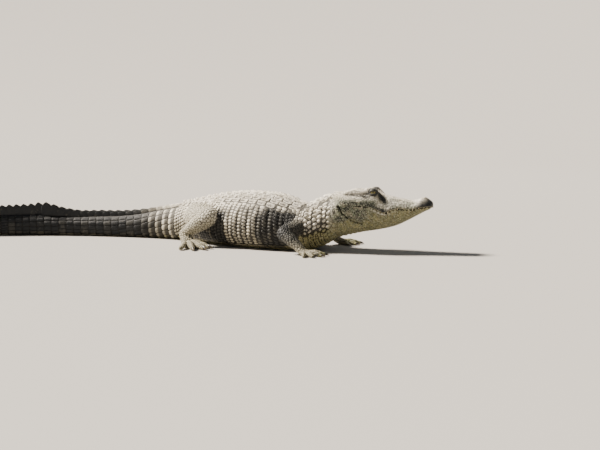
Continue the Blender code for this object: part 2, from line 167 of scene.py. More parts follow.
def lamp(kind, name, place, energy, colour, settings):
    """A lamp at a place, turned to face the middle of the animal, with the settings of its kind."""
    data = bpy.data.lights.new(name, kind)
    data.energy, data.color = energy, linear(colour)[:3]
    for word, value in settings.items():
        setattr(data, word, value)
    obj = bpy.data.objects.new(name, data)
    obj.location = place
    obj.rotation_euler = (Vector((0.2, 0.0, 0.1)) - Vector(place)).to_track_quat("-Z", "Y").to_euler()
    bpy.context.scene.collection.objects.link(obj)


lamp("SUN", "key_lamp", (-6.6, 2.2, 6.4), 18.0, "#fff4e6", {"angle": math.radians(11.0)})
lamp("AREA", "front_fill", (0.6, -5.2, 2.2), 15.0, "#e8f0ff", {"shape": "SQUARE", "size": 3.2})
lamp("AREA", "back_fill", (2.6, 3.8, 2.6), 9.0, "#f2f4ff", {"shape": "SQUARE", "size": 3.2})
world = bpy.data.worlds.new("studio_air")
world.use_nodes = True
world.node_tree.nodes["Background"].inputs["Color"].default_value = linear("#e9edf2")
world.node_tree.nodes["Background"].inputs["Strength"].default_value = 0.22
bpy.context.scene.world = world


# The flesh.
# Its outline is the one that the solids have: a spine that bends in plan, and half outlines
# from the middle of the back to the middle of the belly, the same on both sides.
FIRST_ROW, VENT, TOTAL_LENGTH, STEP = 0.580, 1.302, 2.730, 0.002
HEADING = [(0.00, 12.0), (0.40, 15.0), (0.58, 24.0), (0.75, 34.0), (0.95, 41.0), (1.15, 40.5),
           (1.30, 31.0), (1.45, 21.0), (1.60, 13.5), (1.80, 8.0), (2.00, 1.0), (2.20, -8.0),
           (2.45, -17.0), (2.73, -26.0)]
# Station, half width, belly, widest level, back
BODY = np.array([(0.42, 0.108, 0.066, 0.150, 0.266), (0.46, 0.107, 0.040, 0.130, 0.251),
                 (0.50, 0.113, 0.018, 0.115, 0.231), (0.54, 0.121, 0.003, 0.104, 0.216),
                 (0.57, 0.127, -0.004, 0.099, 0.206), (0.62, 0.139, -0.006, 0.095, 0.215),
                 (0.68, 0.152, -0.007, 0.096, 0.232), (0.76, 0.168, -0.008, 0.098, 0.245),
                 (0.88, 0.180, -0.008, 0.100, 0.245), (0.98, 0.174, -0.008, 0.100, 0.237),
                 (1.10, 0.146, -0.008, 0.097, 0.217), (1.20, 0.117, -0.007, 0.092, 0.196),
                 (1.30, 0.097, -0.006, 0.084, 0.175), (1.44, 0.080, -0.006, 0.072, 0.149),
                 (1.53, 0.071, -0.005, 0.062, 0.128), (1.65, 0.060, -0.005, 0.054, 0.112),
                 (1.75, 0.053, -0.004, 0.049, 0.106), (1.85, 0.047, -0.004, 0.046, 0.099),
                 (1.95, 0.042, -0.004, 0.045, 0.098), (2.05, 0.037, -0.004, 0.045, 0.100),
                 (2.20, 0.030, -0.003, 0.044, 0.098), (2.35, 0.023, -0.003, 0.038, 0.084),
                 (2.50, 0.016, -0.002, 0.028, 0.060), (2.62, 0.010, -0.002, 0.017, 0.037),
                 (2.70, 0.006, -0.001, 0.009, 0.019), (2.73, 0.003, 0.000, 0.005, 0.009)])
LIP_WIDTH = [(0.000, 0.012), (0.004, 0.026), (0.012, 0.041), (0.030, 0.055), (0.055, 0.063),
             (0.090, 0.062), (0.125, 0.069), (0.165, 0.077), (0.200, 0.080), (0.250, 0.086),
             (0.300, 0.096), (0.360, 0.109), (0.400, 0.116), (0.420, 0.114)]
LIP_LEVEL = [(0.000, 0.211), (0.020, 0.212), (0.050, 0.209), (0.100, 0.200), (0.140, 0.203),
             (0.175, 0.196), (0.205, 0.185), (0.240, 0.197), (0.300, 0.215), (0.360, 0.216),
             (0.420, 0.205)]
HEAD_TOP = [(0.000, 0.219), (0.004, 0.228), (0.014, 0.236), (0.030, 0.242), (0.046, 0.243),
            (0.064, 0.239), (0.086, 0.235), (0.150, 0.243), (0.184, 0.251), (0.218, 0.258),
            (0.248, 0.266), (0.300, 0.271), (0.365, 0.269), (0.390, 0.270), (0.420, 0.268)]
CHIN = [(0.005, 0.203), (0.015, 0.195), (0.032, 0.187), (0.060, 0.172), (0.100, 0.150),
        (0.168, 0.118), (0.236, 0.101), (0.304, 0.090), (0.370, 0.076), (0.420, 0.064)]
JAW_INSET, TABLE_HALF_WIDTH, EYE_STATION, EYE_RADIUS = 0.0085, 0.056, 0.262, 0.0150
ORBIT_STATION, ORBIT_RISE, NOSTRIL_STATION, NOSTRIL_RISE = 0.256, 0.026, 0.040, 0.007
NOSTRIL_SPOT, EAR_SIDE, EAR_ENDS = (0.031, 0.0115), 0.0612, (0.292, 0.358)
# The hind edge of the jaw, where the cheek ends in a fold: station, height
JAW_FOLD = [(0.420, 0.214), (0.398, 0.204), (0.390, 0.180), (0.352, 0.146), (0.306, 0.128)]
# How far the skin lies inside the scale tops, by station
SCALE_DEPTH = [(0.00, 0.0006), (0.06, 0.0009), (0.40, 0.0011), (0.46, 0.0025), (0.60, 0.0035),
               (1.30, 0.0032), (1.80, 0.0022), (2.40, 0.0012), (2.73, 0.0004)]
REST_LEVEL = 0.0016


def along(table, s):
    """Read a table at s on a smooth monotone cubic through its points."""
    xs, ys = np.array(table, float).T
    steps = np.diff(xs)
    slopes = np.diff(ys) / steps
    weights = 3.0 * (steps[:-1] + steps[1:])
    with np.errstate(divide="ignore", invalid="ignore"):
        mean = weights / ((2 * steps[1:] + steps[:-1]) / slopes[:-1]
                          + (steps[1:] + 2 * steps[:-1]) / slopes[1:])
    inner = np.where(slopes[:-1] * slopes[1:] > 0, mean, 0.0)
    tangents = np.concatenate([[slopes[0]], inner, [slopes[-1]]])
    s = np.clip(np.asarray(s, float), xs[0], xs[-1])
    k = np.clip(np.searchsorted(xs, s) - 1, 0, len(steps) - 1)
    t = (s - xs[k]) / steps[k]
    return (ys[k] * (1 + 2 * t) * (1 - t) ** 2 + tangents[k] * steps[k] * t * (1 - t) ** 2
            + ys[k + 1] * t * t * (3 - 2 * t) + tangents[k + 1] * steps[k] * t * t * (t - 1))


def smooth(x, low, high):
    """Rise from 0 at low to 1 at high on an S curve, or fall where low is the larger."""
    t = np.clip((x - low) / (high - low), 0.0, 1.0)
    return t * t * (3.0 - 2.0 * t)


def band(x, start, full, ebb, end):
    """Rise from 0 at start to 1 at full, stay, and fall from 1 at ebb to 0 at end."""
    return smooth(x, start, full) * smooth(x, end, ebb)


def bump(*offsets):
    """One at no offset, falling off as a bell: each offset is in units of its own spread."""
    return np.exp(-sum(offset ** 2 for offset in offsets))


def waves(x, length):
    """A cosine of the given wave length."""
    return np.cos(2.0 * np.pi * x / length)


def unit(vectors, least=1e-12):
    """The same vectors at length one."""
    return vectors / np.maximum(np.linalg.norm(vectors, axis=-1, keepdims=True), least)


UP = np.array([0.0, 0.0, 1.0])
SPINE_S = np.arange(0.0, TOTAL_LENGTH + STEP, STEP)
SPINE_HEADING = np.radians(along(HEADING, SPINE_S))
SPINE_X = -np.concatenate([[0.0], np.cumsum(np.cos(SPINE_HEADING[:-1]) * STEP)])
SPINE_Y = np.concatenate([[0.0], np.cumsum(np.sin(SPINE_HEADING[:-1]) * STEP)])
SPINE_X += EYES.x - np.interp(EYE_STATION, SPINE_S, SPINE_X)
SPINE_Y += EYES.y - np.interp(EYE_STATION, SPINE_S, SPINE_Y)


def place(s, right, z):
    """Points at stations s, distances out to the animal's right, and heights z."""
    turn = np.interp(s, SPINE_S, SPINE_HEADING)
    x = np.interp(s, SPINE_S, SPINE_X) - np.sin(turn) * right
    y = np.interp(s, SPINE_S, SPINE_Y) - np.cos(turn) * right
    return np.stack(np.broadcast_arrays(x, y, z), -1)


def head_height(s, right, lip, top, width):
    """An arch over the lips, with a bell for each orbit, the nose mound and the table's edges."""
    arch = (1.0 - np.clip(right / width, 0.0, 1.0) ** 2.3) ** 0.62
    orbit = bump((s - ORBIT_STATION) / 0.030, (right - 0.041) / 0.017)
    nose = bump((s - NOSTRIL_STATION) / 0.016, right / 0.024)
    back = 1.0 / (1.0 + np.exp(-(s - 0.272) / 0.006)) / (1.0 + np.exp((s - 0.379) / 0.006))
    edge = bump((right - TABLE_HALF_WIDTH + 0.010) / 0.014)
    return lip + (top - lip) * arch + ORBIT_RISE * orbit + NOSTRIL_RISE * nose + 0.014 * back * edge


# Points of a head outline on the arch, which ends at the lip, and on the jaw
ARCH_POINTS, JAW_POINTS = 150, 110


def head_outline(s):
    """Half outlines of the closed head: the arch, the rolled upper lip, the mouth crease, the jaw."""
    s = s[:, None]
    lip, top, width, chin = (along(table, s) for table in (LIP_LEVEL, HEAD_TOP, LIP_WIDTH, CHIN))
    inset = np.minimum(JAW_INSET, 0.6 * width) * (0.25 + 0.75 * smooth(s, 0.40, 0.33))
    inset = inset * smooth(s, 0.43, 0.40)
    right = width * (1.0 - (1.0 - np.linspace(0.0, 1.0, ARCH_POINTS)) ** 1.8)
    roll = np.radians(np.linspace(15.0, 165.0, 9))
    angle = np.radians(np.linspace(2.0, 90.0, JAW_POINTS))
    return (np.concatenate([right, width - inset * 0.34 * (1.0 - np.cos(roll)), width - inset * 1.30,
                            (width - inset) * np.cos(angle) ** (2.0 / 2.3)], 1),
            np.concatenate([head_height(s, right, lip, top, width),
                            lip - 0.0042 * np.sin(roll) * (inset / JAW_INSET),
                            lip - 0.0016 * (inset / JAW_INSET),
                            lip - (lip - chin) * np.sin(angle) ** (2.0 / 2.3)], 1))


def body_outline(s):
    """Half outlines of neck, trunk and tail: rounded oblongs, squarer below than above."""
    s = s[:, None]
    width, belly, side, back = (along(BODY[:, [0, k]], s) for k in (1, 2, 3, 4))
    angle = np.radians(np.linspace(90.0, -90.0, 260))
    power = np.where(angle > 0, 2.25 - 0.25 * smooth(s, 1.22, 1.40), 2.7 - 0.1 * smooth(s, 1.22, 1.40))
    across = np.abs(np.cos(angle)) ** (2.0 / power) * width
    up = np.sign(angle) * np.abs(np.sin(angle)) ** (2.0 / power)
    return across, side + up * np.where(angle > 0, back - side, side - belly)


def share(right, z):
    """Share of the way round each outline at each of its points, and the whole way round."""
    steps = np.hypot(np.diff(right, axis=1), np.diff(z, axis=1))
    way = np.concatenate([np.zeros((len(right), 1)), np.cumsum(steps, 1)], 1)
    return way / way[:, -1:], way[:, -1]


LIP_STATIONS = np.linspace(0.0, 0.44, 111)
LIP_SHARES = share(*head_outline(LIP_STATIONS))[0][:, ARCH_POINTS - 1]


def from_line(s, z, line):
    """Distance of each point from a line of joined straight stretches."""
    nearest = np.full(np.shape(s), 9.0)
    for (s0, z0), (s1, z1) in zip(line[:-1], line[1:]):
        t = ((s - s0) * (s1 - s0) + (z - z0) * (z1 - z0)) / ((s1 - s0) ** 2 + (z1 - z0) ** 2)
        t = np.clip(t, 0, 1)
        nearest = np.minimum(nearest, np.hypot(s - s0 - t * (s1 - s0), z - z0 - t * (z1 - z0)))
    return nearest


def folds(s, right, z, way, lip_way, length):
    """How far the flesh stands out from the plain outline: each fold, ridge and pit is a bell."""
    above = smooth((lip_way - way) * length, -0.001, 0.004)
    side = smooth(right, 0.035, 0.060)
    nostril = np.hypot((s - NOSTRIL_SPOT[0]) / 0.0050, (right - NOSTRIL_SPOT[1]) / 0.0036)
    top = -0.0052 * bump(nostril) + 0.0016 * bump((nostril - 1.7) / 0.5)
    top += 0.0016 * bump((right - 0.034 - 0.12 * (s - 0.10)) / 0.006) * band(s, 0.08, 0.13, 0.20, 0.235)
    for depth, s0, s_spread, right0, right_spread in ((0.0050, 0.209, 0.017, 0.050, 0.020),
                                                      (0.0040, 0.262, 0.032, 0.0, 0.014),
                                                      (0.0030, 0.320, 0.016, 0.025, 0.010)):
        top -= depth * bump((s - s0) / s_spread, (right - right0) / right_spread)
    table = band(s, 0.276, 0.292, 0.372, 0.386)
    top += table * (0.0024 * bump((right - 0.051) / 0.0045) - 0.0050 * bump((right - 0.0655) / 0.0065))
    top -= 0.0050 * band(s, 0.292, 0.302, 0.346, 0.358) * bump((right - EAR_SIDE) / 0.0018)
    top += 0.0036 * bump((s - 0.335) / 0.040, (z - 0.228) / 0.010) * side
    top -= 0.0034 * bump((s - 0.292) / 0.015, (z - 0.243) / 0.010) * side
    lip_bead = np.cos(np.pi * s / 0.0155) ** 2 * bump((way - lip_way + 0.02) * length / 0.007)
    fold = from_line(s, z, JAW_FOLD)
    jaw = 0.0060 * bump((s - 0.350) / 0.034, (z - 0.168) / 0.030) - 0.0095 * bump(fold / 0.0036)
    jaw += 0.0028 * bump((fold - 0.0100) / 0.0050) * smooth(s, 0.31, 0.35)
    jaw += 0.0010 * waves(z - 0.4 * s, 0.019) * band(s, 0.02, 0.10, 0.28, 0.34)
    throat = band(s, 0.30, 0.40, 0.54, 0.62) * smooth(z, 0.160, 0.080)
    nape = band(s, 0.405, 0.43, 0.56, 0.60) * band(z, 0.04, 0.10, 0.180, 0.215)
    flank = band(s, 0.62, 0.70, 1.08, 1.16) * band(z, 0.01, 0.05, 0.16, 0.20)
    return (above * top + 0.0013 * lip_bead * smooth(s, 0.34, 0.28) + (1.0 - above) * side * jaw
            + throat * 0.0022 * waves(s + 0.10 * z, 0.021) + nape * 0.0030 * waves(s - 0.22 * z, 0.030)
            + flank * 0.0020 * waves(s + 0.10 * z, 0.043))


def skin_outline(s, way):
    """Half outlines of the skin at stations s, read at shares of the way round from back to belly."""
    right, z, length = np.zeros(way.shape), np.zeros(way.shape), np.zeros(len(s))
    blend = smooth(s, 0.395, 0.455)
    for outline, weight in ((head_outline, 1.0 - blend), (body_outline, blend)):
        rows = np.flatnonzero(weight > 0.0)
        if not len(rows):
            continue
        raw_right, raw_z = outline(s[rows])
        raw_way, raw_length = share(raw_right, raw_z)
        length[rows] += raw_length * weight[rows]
        for k, row in enumerate(rows):
            right[row] += np.interp(way[row], raw_way[k], raw_right[k]) * weight[row]
            z[row] += np.interp(way[row], raw_way[k], raw_z[k]) * weight[row]
    along_right, along_z = np.gradient(right, axis=1), np.gradient(z, axis=1)
    size = np.maximum(np.hypot(along_right, along_z), 1e-9)
    out_right, out_z = -along_z / size, along_right / size
    out_right[:, [0, -1]], out_z[:, 0], out_z[:, -1] = 0.0, 1.0, -1.0
    lip_way = np.interp(s, LIP_STATIONS, LIP_SHARES)[:, None]
    lift = folds(s[:, None], right, z, way, lip_way, length[:, None]) - along(SCALE_DEPTH, s)[:, None]
    right, z = np.maximum(right + out_right * lift, 0.0), z + out_z * lift
    right[:, [0, -1]] = 0.0
    return right, np.maximum(z, REST_LEVEL)


# A table of the skin that every scale is set on: rows by station, columns round the right half
TABLE_COLUMNS = 240
TABLE_RIGHT, TABLE_Z = skin_outline(
    SPINE_S, np.tile(np.linspace(0.0, 1.0, TABLE_COLUMNS + 1), (len(SPINE_S), 1)))
TABLE_WAY, HALF_ROUND = share(TABLE_RIGHT, TABLE_Z)


def half_round(s):
    """The way round the body at stations s, from the middle of the back to the middle of the belly."""
    return np.interp(s, SPINE_S, HALF_ROUND)


def skin_at(s, round_way):
    """Points of the skin at stations s and distances round from the back, right side positive."""
    s = np.clip(s, 0.0, TOTAL_LENGTH - STEP)
    turn = (round_way / half_round(s) + 1.0) % 2.0 - 1.0
    row, column = s / STEP, np.abs(turn) * TABLE_COLUMNS
    i = np.minimum(row.astype(int), len(SPINE_S) - 2)
    j = np.minimum(column.astype(int), TABLE_COLUMNS - 1)
    u, v = row - i, column - j
    right, z = (t[i, j] * (1 - u) * (1 - v) + t[i + 1, j] * u * (1 - v) + t[i, j + 1] * (1 - u) * v
                + t[i + 1, j + 1] * u * v for t in (TABLE_RIGHT, TABLE_Z))
    return place(s, right * np.sign(turn), z)


def locate(points):
    """Station, distance out to the right, distance round and height off the skin of any points."""
    found = []
    for start in range(0, len(points), 4000):
        x, y, z = points[start:start + 4000].T
        nearest = np.argmin((x[:, None] - SPINE_X[::4]) ** 2 + (y[:, None] - SPINE_Y[::4]) ** 2, 1) * 4
        turn = SPINE_HEADING[nearest]
        dx, dy = x - SPINE_X[nearest], y - SPINE_Y[nearest]
        s = np.clip(SPINE_S[nearest] - dx * np.cos(turn) + dy * np.sin(turn), 0.0, TOTAL_LENGTH)
        right = -dx * np.sin(turn) - dy * np.cos(turn)
        row = np.clip((s / STEP).astype(int), 0, len(SPINE_S) - 1)
        far = (np.abs(right)[:, None] - TABLE_RIGHT[row, ::2]) ** 2 + (z[:, None] - TABLE_Z[row, ::2]) ** 2
        column = np.argmin(far, 1)
        way = TABLE_WAY[row, column * 2] * HALF_ROUND[row] * np.sign(right)
        found.append((s, right, way, np.sqrt(far.min(1))))
    return [np.concatenate(column) for column in zip(*found)]


# Legs.
# Each is flesh over two long segments and a foot with five or four digits; the hind digits are webbed.
# Segments are tapered tubes with rounded ends, which are joined into the skin as closed shapes.
# Joints as station, distance out and height; half width and half depth there; the palm's length and
# splay; digits as turn from the foot's own heading, length beyond the palm, radius and claw length
LIMBS = {"fore": ([(0.575, 0.085, 0.110), (0.597, 0.207, 0.090), (0.525, 0.234, 0.034)],
                  [(0.050, 0.045), (0.036, 0.033), (0.025, 0.020)], 0.050, 12.0,
                  [(-52, 0.044, 0.0100, 0.020), (-26, 0.060, 0.0105, 0.021), (2, 0.064, 0.0105, 0.021),
                   (30, 0.058, 0.0095, 0.0), (58, 0.044, 0.0085, 0.0)]),
         "hind": ([(1.145, 0.070, 0.118), (0.968, 0.186, 0.140), (1.088, 0.232, 0.060)],
                  [(0.082, 0.077), (0.048, 0.043), (0.029, 0.025)], 0.088, 24.0,
                  [(-24, 0.078, 0.0135, 0.026), (-6, 0.100, 0.0140, 0.027), (13, 0.106, 0.0135, 0.026),
                   (34, 0.092, 0.0115, 0.0)])}
LEG_DEPTH, TOE_DEPTH = 0.0016, 0.0006
# Along a digit: share of its length, width and height of its middle as shares of its radius
DIGIT = [(0.0, 1.05, 1.25), (0.30, 1.00, 1.75), (0.48, 1.14, 1.55), (0.62, 0.90, 1.35),
         (0.76, 1.00, 1.15), (0.90, 0.78, 0.85), (1.0, 0.72, 0.74)]


class Segment:
    """A limb segment: its centre line, its radii along it, and points on its surface.

    Its muscle swells as a bell along it: middle, spread, how close it keeps to the top, and amount."""

    def __init__(self, joints, sizes, swell=(0.5, 1.0, 0.0, 0.0), inset=LEG_DEPTH):
        self.joints = np.array(joints, float)
        steps = np.linalg.norm(np.diff(self.joints, axis=0), axis=1)
        self.knots = np.concatenate([[0.0], np.cumsum(steps)])
        self.length = self.knots[-1]
        self.sizes = np.array(sizes, float) - inset
        self.swell = swell
        self.radius = 0.5 * (self.sizes[:, 0].mean() + self.sizes[:, 1].mean())
        self.girth = 2.0 * math.pi * self.radius
        self.ends = self.sizes[0].mean() * 0.8, self.sizes[-1].mean() * 0.9

    def centre(self, x):
        """The centre line, carried on straight past both ends."""
        inside = [along(np.stack([self.knots, self.joints[:, axis]], 1), x) for axis in range(3)]
        first = (self.joints[1] - self.joints[0]) / (self.knots[1] - self.knots[0])
        last = (self.joints[-1] - self.joints[-2]) / (self.knots[-1] - self.knots[-2])
        return (np.stack(inside, -1) + np.minimum(x, 0.0)[..., None] * first
                + np.maximum(x - self.length, 0.0)[..., None] * last)

    def at(self, x, round_way):
        """Points at distances x along and distances round from the top of the segment."""
        x, round_way = np.broadcast_arrays(np.asarray(x, float), round_way)
        ahead = unit(self.centre(x + 0.003) - self.centre(x - 0.003))
        side = unit(np.cross(ahead, UP), 1e-6)
        up = np.cross(side, ahead)
        wide, deep = (along(np.stack([self.knots, self.sizes[:, k]], 1), x) for k in (0, 1))
        beyond = np.maximum(np.maximum(-x / self.ends[0], (x - self.length) / self.ends[1]), 0.0)
        cap = np.sqrt(np.clip(1 - beyond ** 2, 0, 1))
        angle = round_way / self.radius
        middle, spread, tightness, amount = self.swell
        fat = amount * bump((x / self.length - middle) / spread)
        fat = 1.0 + fat * np.exp(tightness * (np.cos(angle) - 1))
        reach_side, reach_up = np.sin(angle) * wide * fat * cap, np.cos(angle) * deep * fat * cap
        return self.centre(x) + side * reach_side[..., None] + up * reach_up[..., None]

    def flesh(self, name, spacing, count):
        """The segment as a closed tube, with rings closer together over its rounded ends."""
        ends = np.sin(np.radians(np.linspace(15.0, 90.0, 6)))
        x = np.concatenate([-self.ends[0] * ends[::-1][:-1] * 0.985, [0.0],
                            np.linspace(0.0, self.length, max(int(self.length / spacing), 3))[1:-1],
                            [self.length], self.length + self.ends[1] * ends * 0.985])
        way = np.linspace(0.0, self.girth, count, endpoint=False)
        return mesh_object(name, *tube(self.at(x[:, None], way[None, :])))


def unite(body, others):
    """The body with the others joined into it as one closed surface."""
    for number, other in enumerate(others):
        modifier = body.modifiers.new(f"join_{number}", "BOOLEAN")
        modifier.operation, modifier.object, modifier.solver = "UNION", other, "MANIFOLD"
    bpy.context.view_layer.update()
    mesh = bpy.data.meshes.new_from_object(body.evaluated_get(bpy.context.evaluated_depsgraph_get()))
    body.modifiers.clear()
    body.data = mesh
    for other in others:
        bpy.data.objects.remove(other, do_unlink=True)
    return body


def limb_segments(side, kind):
    """Upper and lower segment, palm and digits of one leg, and what each claw and web hangs on."""
    joints, radii, palm, splay, digits = LIMBS[kind]
    shoulder, bend, wrist = (place(s, side * out, z) for s, out, z in joints)
    upper = Segment([shoulder, (shoulder + bend) / 2.0, bend],
                    [radii[0], np.add(radii[0], radii[1]) * (0.53 if kind == "hind" else 0.5), radii[1]],
                    (0.75, 0.25, 1.0, 0.05))
    lower = Segment([bend, bend * 0.6 + wrist * 0.4, wrist],
                    [radii[1], np.add(radii[1], radii[2]) * 0.57, radii[2]], (0.0, 0.18, 2.0, 0.06))
    heading = np.interp(joints[2][0], SPINE_S, SPINE_HEADING) + side * math.radians(splay)

    def direction(turn):
        """The level direction at a turn in degrees outwards from the foot's own heading."""
        angle = heading + side * math.radians(turn)
        return np.array([math.cos(angle), -math.sin(angle), 0.0])

    base = np.array([wrist[0], wrist[1], 0.0])
    half, thick = radii[2]
    spots = [(-0.10, 0.92, 0.92, 0.88), (0.22, 0.62, 1.05, 1.00), (0.50, 0.38, 1.18, 0.90),
             (0.85, 0.012 / wrist[2], 1.42, 0.66), (1.06, 0.008 / wrist[2], 1.30, 0.45)]
    hand = Segment([base + direction(0) * palm * reach + [0, 0, wrist[2] * z] for reach, z, _, _ in spots],
                   [(half * wide, thick * deep) for _, _, wide, deep in spots])
    toes, claws, webs = [], [], []
    for turn, length, radius, claw in digits:
        root = base + direction(0) * palm * 0.55 + direction(90) * half * 0.55 * math.sin(math.radians(turn))
        reach = palm * 0.45 + length
        line = [root + direction(turn) * reach * t + [0, 0, radius * lift] for t, _, lift in DIGIT]
        sizes = [(radius * wide, radius * wide * 0.88) for _, wide, _ in DIGIT]
        toes.append(Segment(line, sizes, inset=TOE_DEPTH))
        if claw:
            claws.append((root + direction(turn) * reach, direction(turn), radius, claw))
    if kind == "hind":
        root, ways = base + direction(0) * palm * 0.80, [direction(row[0]) for row in digits]
        reaches = [0.20 * palm + row[1] * 0.55 for row in digits]
        webs = [(root, ways[k:k + 2], reaches[k:k + 2]) for k in range(len(ways) - 1)]
    return upper, lower, hand, toes, claws, webs


def web_object(root, ways, reaches):
    """Skin between two digits: a thin wedge whose free edge sags in between them."""
    turn, level = np.meshgrid(np.linspace(-0.1, 1.1, 9), [0.0, 1.0], indexing="ij")
    between = np.clip(turn, 0, 1)
    reach = reaches[0] + (reaches[1] - reaches[0]) * between - 0.030 * np.sin(np.pi * between)
    way = unit(ways[0] * (1 - turn)[..., None] + ways[1] * turn[..., None])
    edge = root + way * reach[..., None] + (0.0022 + 0.0035 * level)[..., None] * UP
    inner = root + way * 0.004 + (0.0022 + 0.0085 * level)[..., None] * UP
    return mesh_object("web", *tube(np.stack([inner[:, 0], edge[:, 0], edge[:, 1], inner[:, 1]], 1)))


LEGS = {(word, kind): limb_segments(side, kind) for side, word in SIDES for kind in LIMBS}


# The skin.
# One closed hide from snout tip to tail tip and down to the toes. It is drawn tight over the bone of
# the head, hangs in soft folds on throat and flank, and is painted dark between the scales as shade.
HEAD_COLUMNS, TOP_COLUMNS, LIP_COLUMNS = 104, 54, 12
HEAD_END, TRUNK_END, LIP_ROLL = 0.432, 1.35, 0.0125


def ring_stations():
    """Stations of the head's rings, closest at the nose and the eyes."""
    fine = np.linspace(0.0003, HEAD_END, 2000)
    spacing = 0.0019 - 0.0012 * bump(fine / 0.020) - 0.0004 * bump((fine - EYE_STATION) / 0.030)
    count = np.concatenate([[0.0], np.cumsum(np.diff(fine) / spacing[:-1])])
    return np.interp(np.linspace(0.0, count[-1], int(count[-1])), count, fine)


def head_ways(s):
    """Shares of the way round for the head's columns, with a dozen of them over the lip roll."""
    lip = np.interp(s, LIP_STATIONS, LIP_SHARES)[:, None]
    roll = LIP_ROLL / share(*head_outline(s))[1][:, None] * 1.15
    top = np.linspace(0.0, 1.0, TOP_COLUMNS, endpoint=False)[None] * lip
    over = lip + roll * np.linspace(0.0, 1.0, LIP_COLUMNS, endpoint=False)[None]
    t = np.linspace(0.0, 1.0, HEAD_COLUMNS - TOP_COLUMNS - LIP_COLUMNS + 1)[None]
    return np.concatenate([top, over, lip + roll + (1.0 - lip - roll) * t ** 1.25], 1)


def full_rings(s, way):
    """Whole rings of points from half outlines: down the right side and up the left."""
    right, z = skin_outline(s, way)
    right = np.concatenate([right, -right[:, -2:0:-1]], 1)
    return place(s[:, None], right, np.concatenate([z, z[:, -2:0:-1]], 1))


head_s = ring_stations()
head_rings = full_rings(head_s, head_ways(head_s))
trunk_s = np.concatenate([np.arange(HEAD_END + 0.004, TRUNK_END, 0.0072),
                          np.linspace(TRUNK_END, TOTAL_LENGTH - 0.001, 124)])
trunk_way = head_ways(np.full(len(trunk_s), HEAD_END))[:, ::2]
even_way = np.tile(np.linspace(0.0, 1.0, trunk_way.shape[1]), (len(trunk_s), 1))
trunk_way += (even_way - trunk_way) * smooth(trunk_s, HEAD_END, 0.60)[:, None]
trunk_rings = full_rings(trunk_s, trunk_way)


def eye_axes(side):
    """Directions out of the eye, towards the snout and up, the first turned a little forward and up."""
    turn = np.interp(EYE_STATION, SPINE_S, SPINE_HEADING)
    snout = np.array([math.cos(turn), -math.sin(turn), 0.0])
    out = unit(np.array([-math.sin(turn), -math.cos(turn), 0.0]) * side * 0.95 + snout * 0.22 + UP * 0.20)
    up = unit(UP - out * out[2])
    return out, np.cross(up, out) * side * np.sign(np.dot(np.cross(up, out) * side, snout)), up


EYE_AXES = {side: eye_axes(side) for side, _ in SIDES}
# Sockets: the skin is drawn in behind each eye, over a long low opening, and the lids cover its rim
SOCKET_AHEAD, SOCKET_UP, SOCKET_DEPTH = math.radians(60.0), math.radians(40.0), 0.0025
flat = head_rings.reshape(-1, 3)
for side, (out, snout, up) in EYE_AXES.items():
    offset = flat - EYE_CENTRES[side]
    distance = np.linalg.norm(offset, axis=1)
    up_angle = np.arcsin(np.clip((offset @ up) / np.maximum(distance, 1e-6), -1, 1))
    opening = np.hypot(np.arctan2(offset @ snout, offset @ out) / SOCKET_AHEAD, up_angle / SOCKET_UP)
    wanted = EYE_RADIUS - SOCKET_DEPTH + (distance - EYE_RADIUS + SOCKET_DEPTH) * smooth(opening, 0.80, 1.15)
    pulled = np.where((opening < 1.15) & (distance < 0.05), np.minimum(distance, wanted), distance)
    flat = EYE_CENTRES[side] + offset * (pulled / np.maximum(distance, 1e-6))[:, None]

head_count, trunk_count = head_rings.shape[1], trunk_rings.shape[1]
head_grid = np.arange(len(flat)).reshape(len(head_s), head_count)
trunk_grid = len(flat) + np.arange(len(trunk_s) * trunk_count).reshape(len(trunk_s), trunk_count)
skin_points = np.concatenate([flat, trunk_rings.reshape(-1, 3),
                              [head_rings[0].mean(0), trunk_rings[-1].mean(0)]])
even, odd, after = head_grid[-1, ::2], head_grid[-1, 1::2], np.roll(head_grid[-1, ::2], -1)
trunk_first, trunk_after = trunk_grid[0], np.roll(trunk_grid[0], -1)
stitches = [(even, odd, trunk_first), (odd, trunk_after, trunk_first), (odd, after, trunk_after),
            (np.full(head_count, len(skin_points) - 2), np.roll(head_grid[0], -1), head_grid[0]),
            (np.full(trunk_count, len(skin_points) - 1), trunk_grid[-1], np.roll(trunk_grid[-1], -1))]
skin = mesh_object("alligator_skin", skin_points,
                   outward(skin_points, np.concatenate([ring_quads(head_grid), ring_quads(trunk_grid)]),
                           np.concatenate([np.stack(corners, 1) for corners in stitches])))

# Lids: a heavy upper one that roofs the eye and a thinner lower one, each a thick shell over the ball.
# For each: turn of its free edge and of its root, how square its edge runs, rim, body, swell, folds
LID_AHEAD = 66.0
LIDS = ((1, 15.0, 118.0, 0.60, 0.0026, 0.0028, 0.0030, 5), (-1, 20.0, 62.0, 0.75, 0.0018, 0.0020, 0.0012, 6))


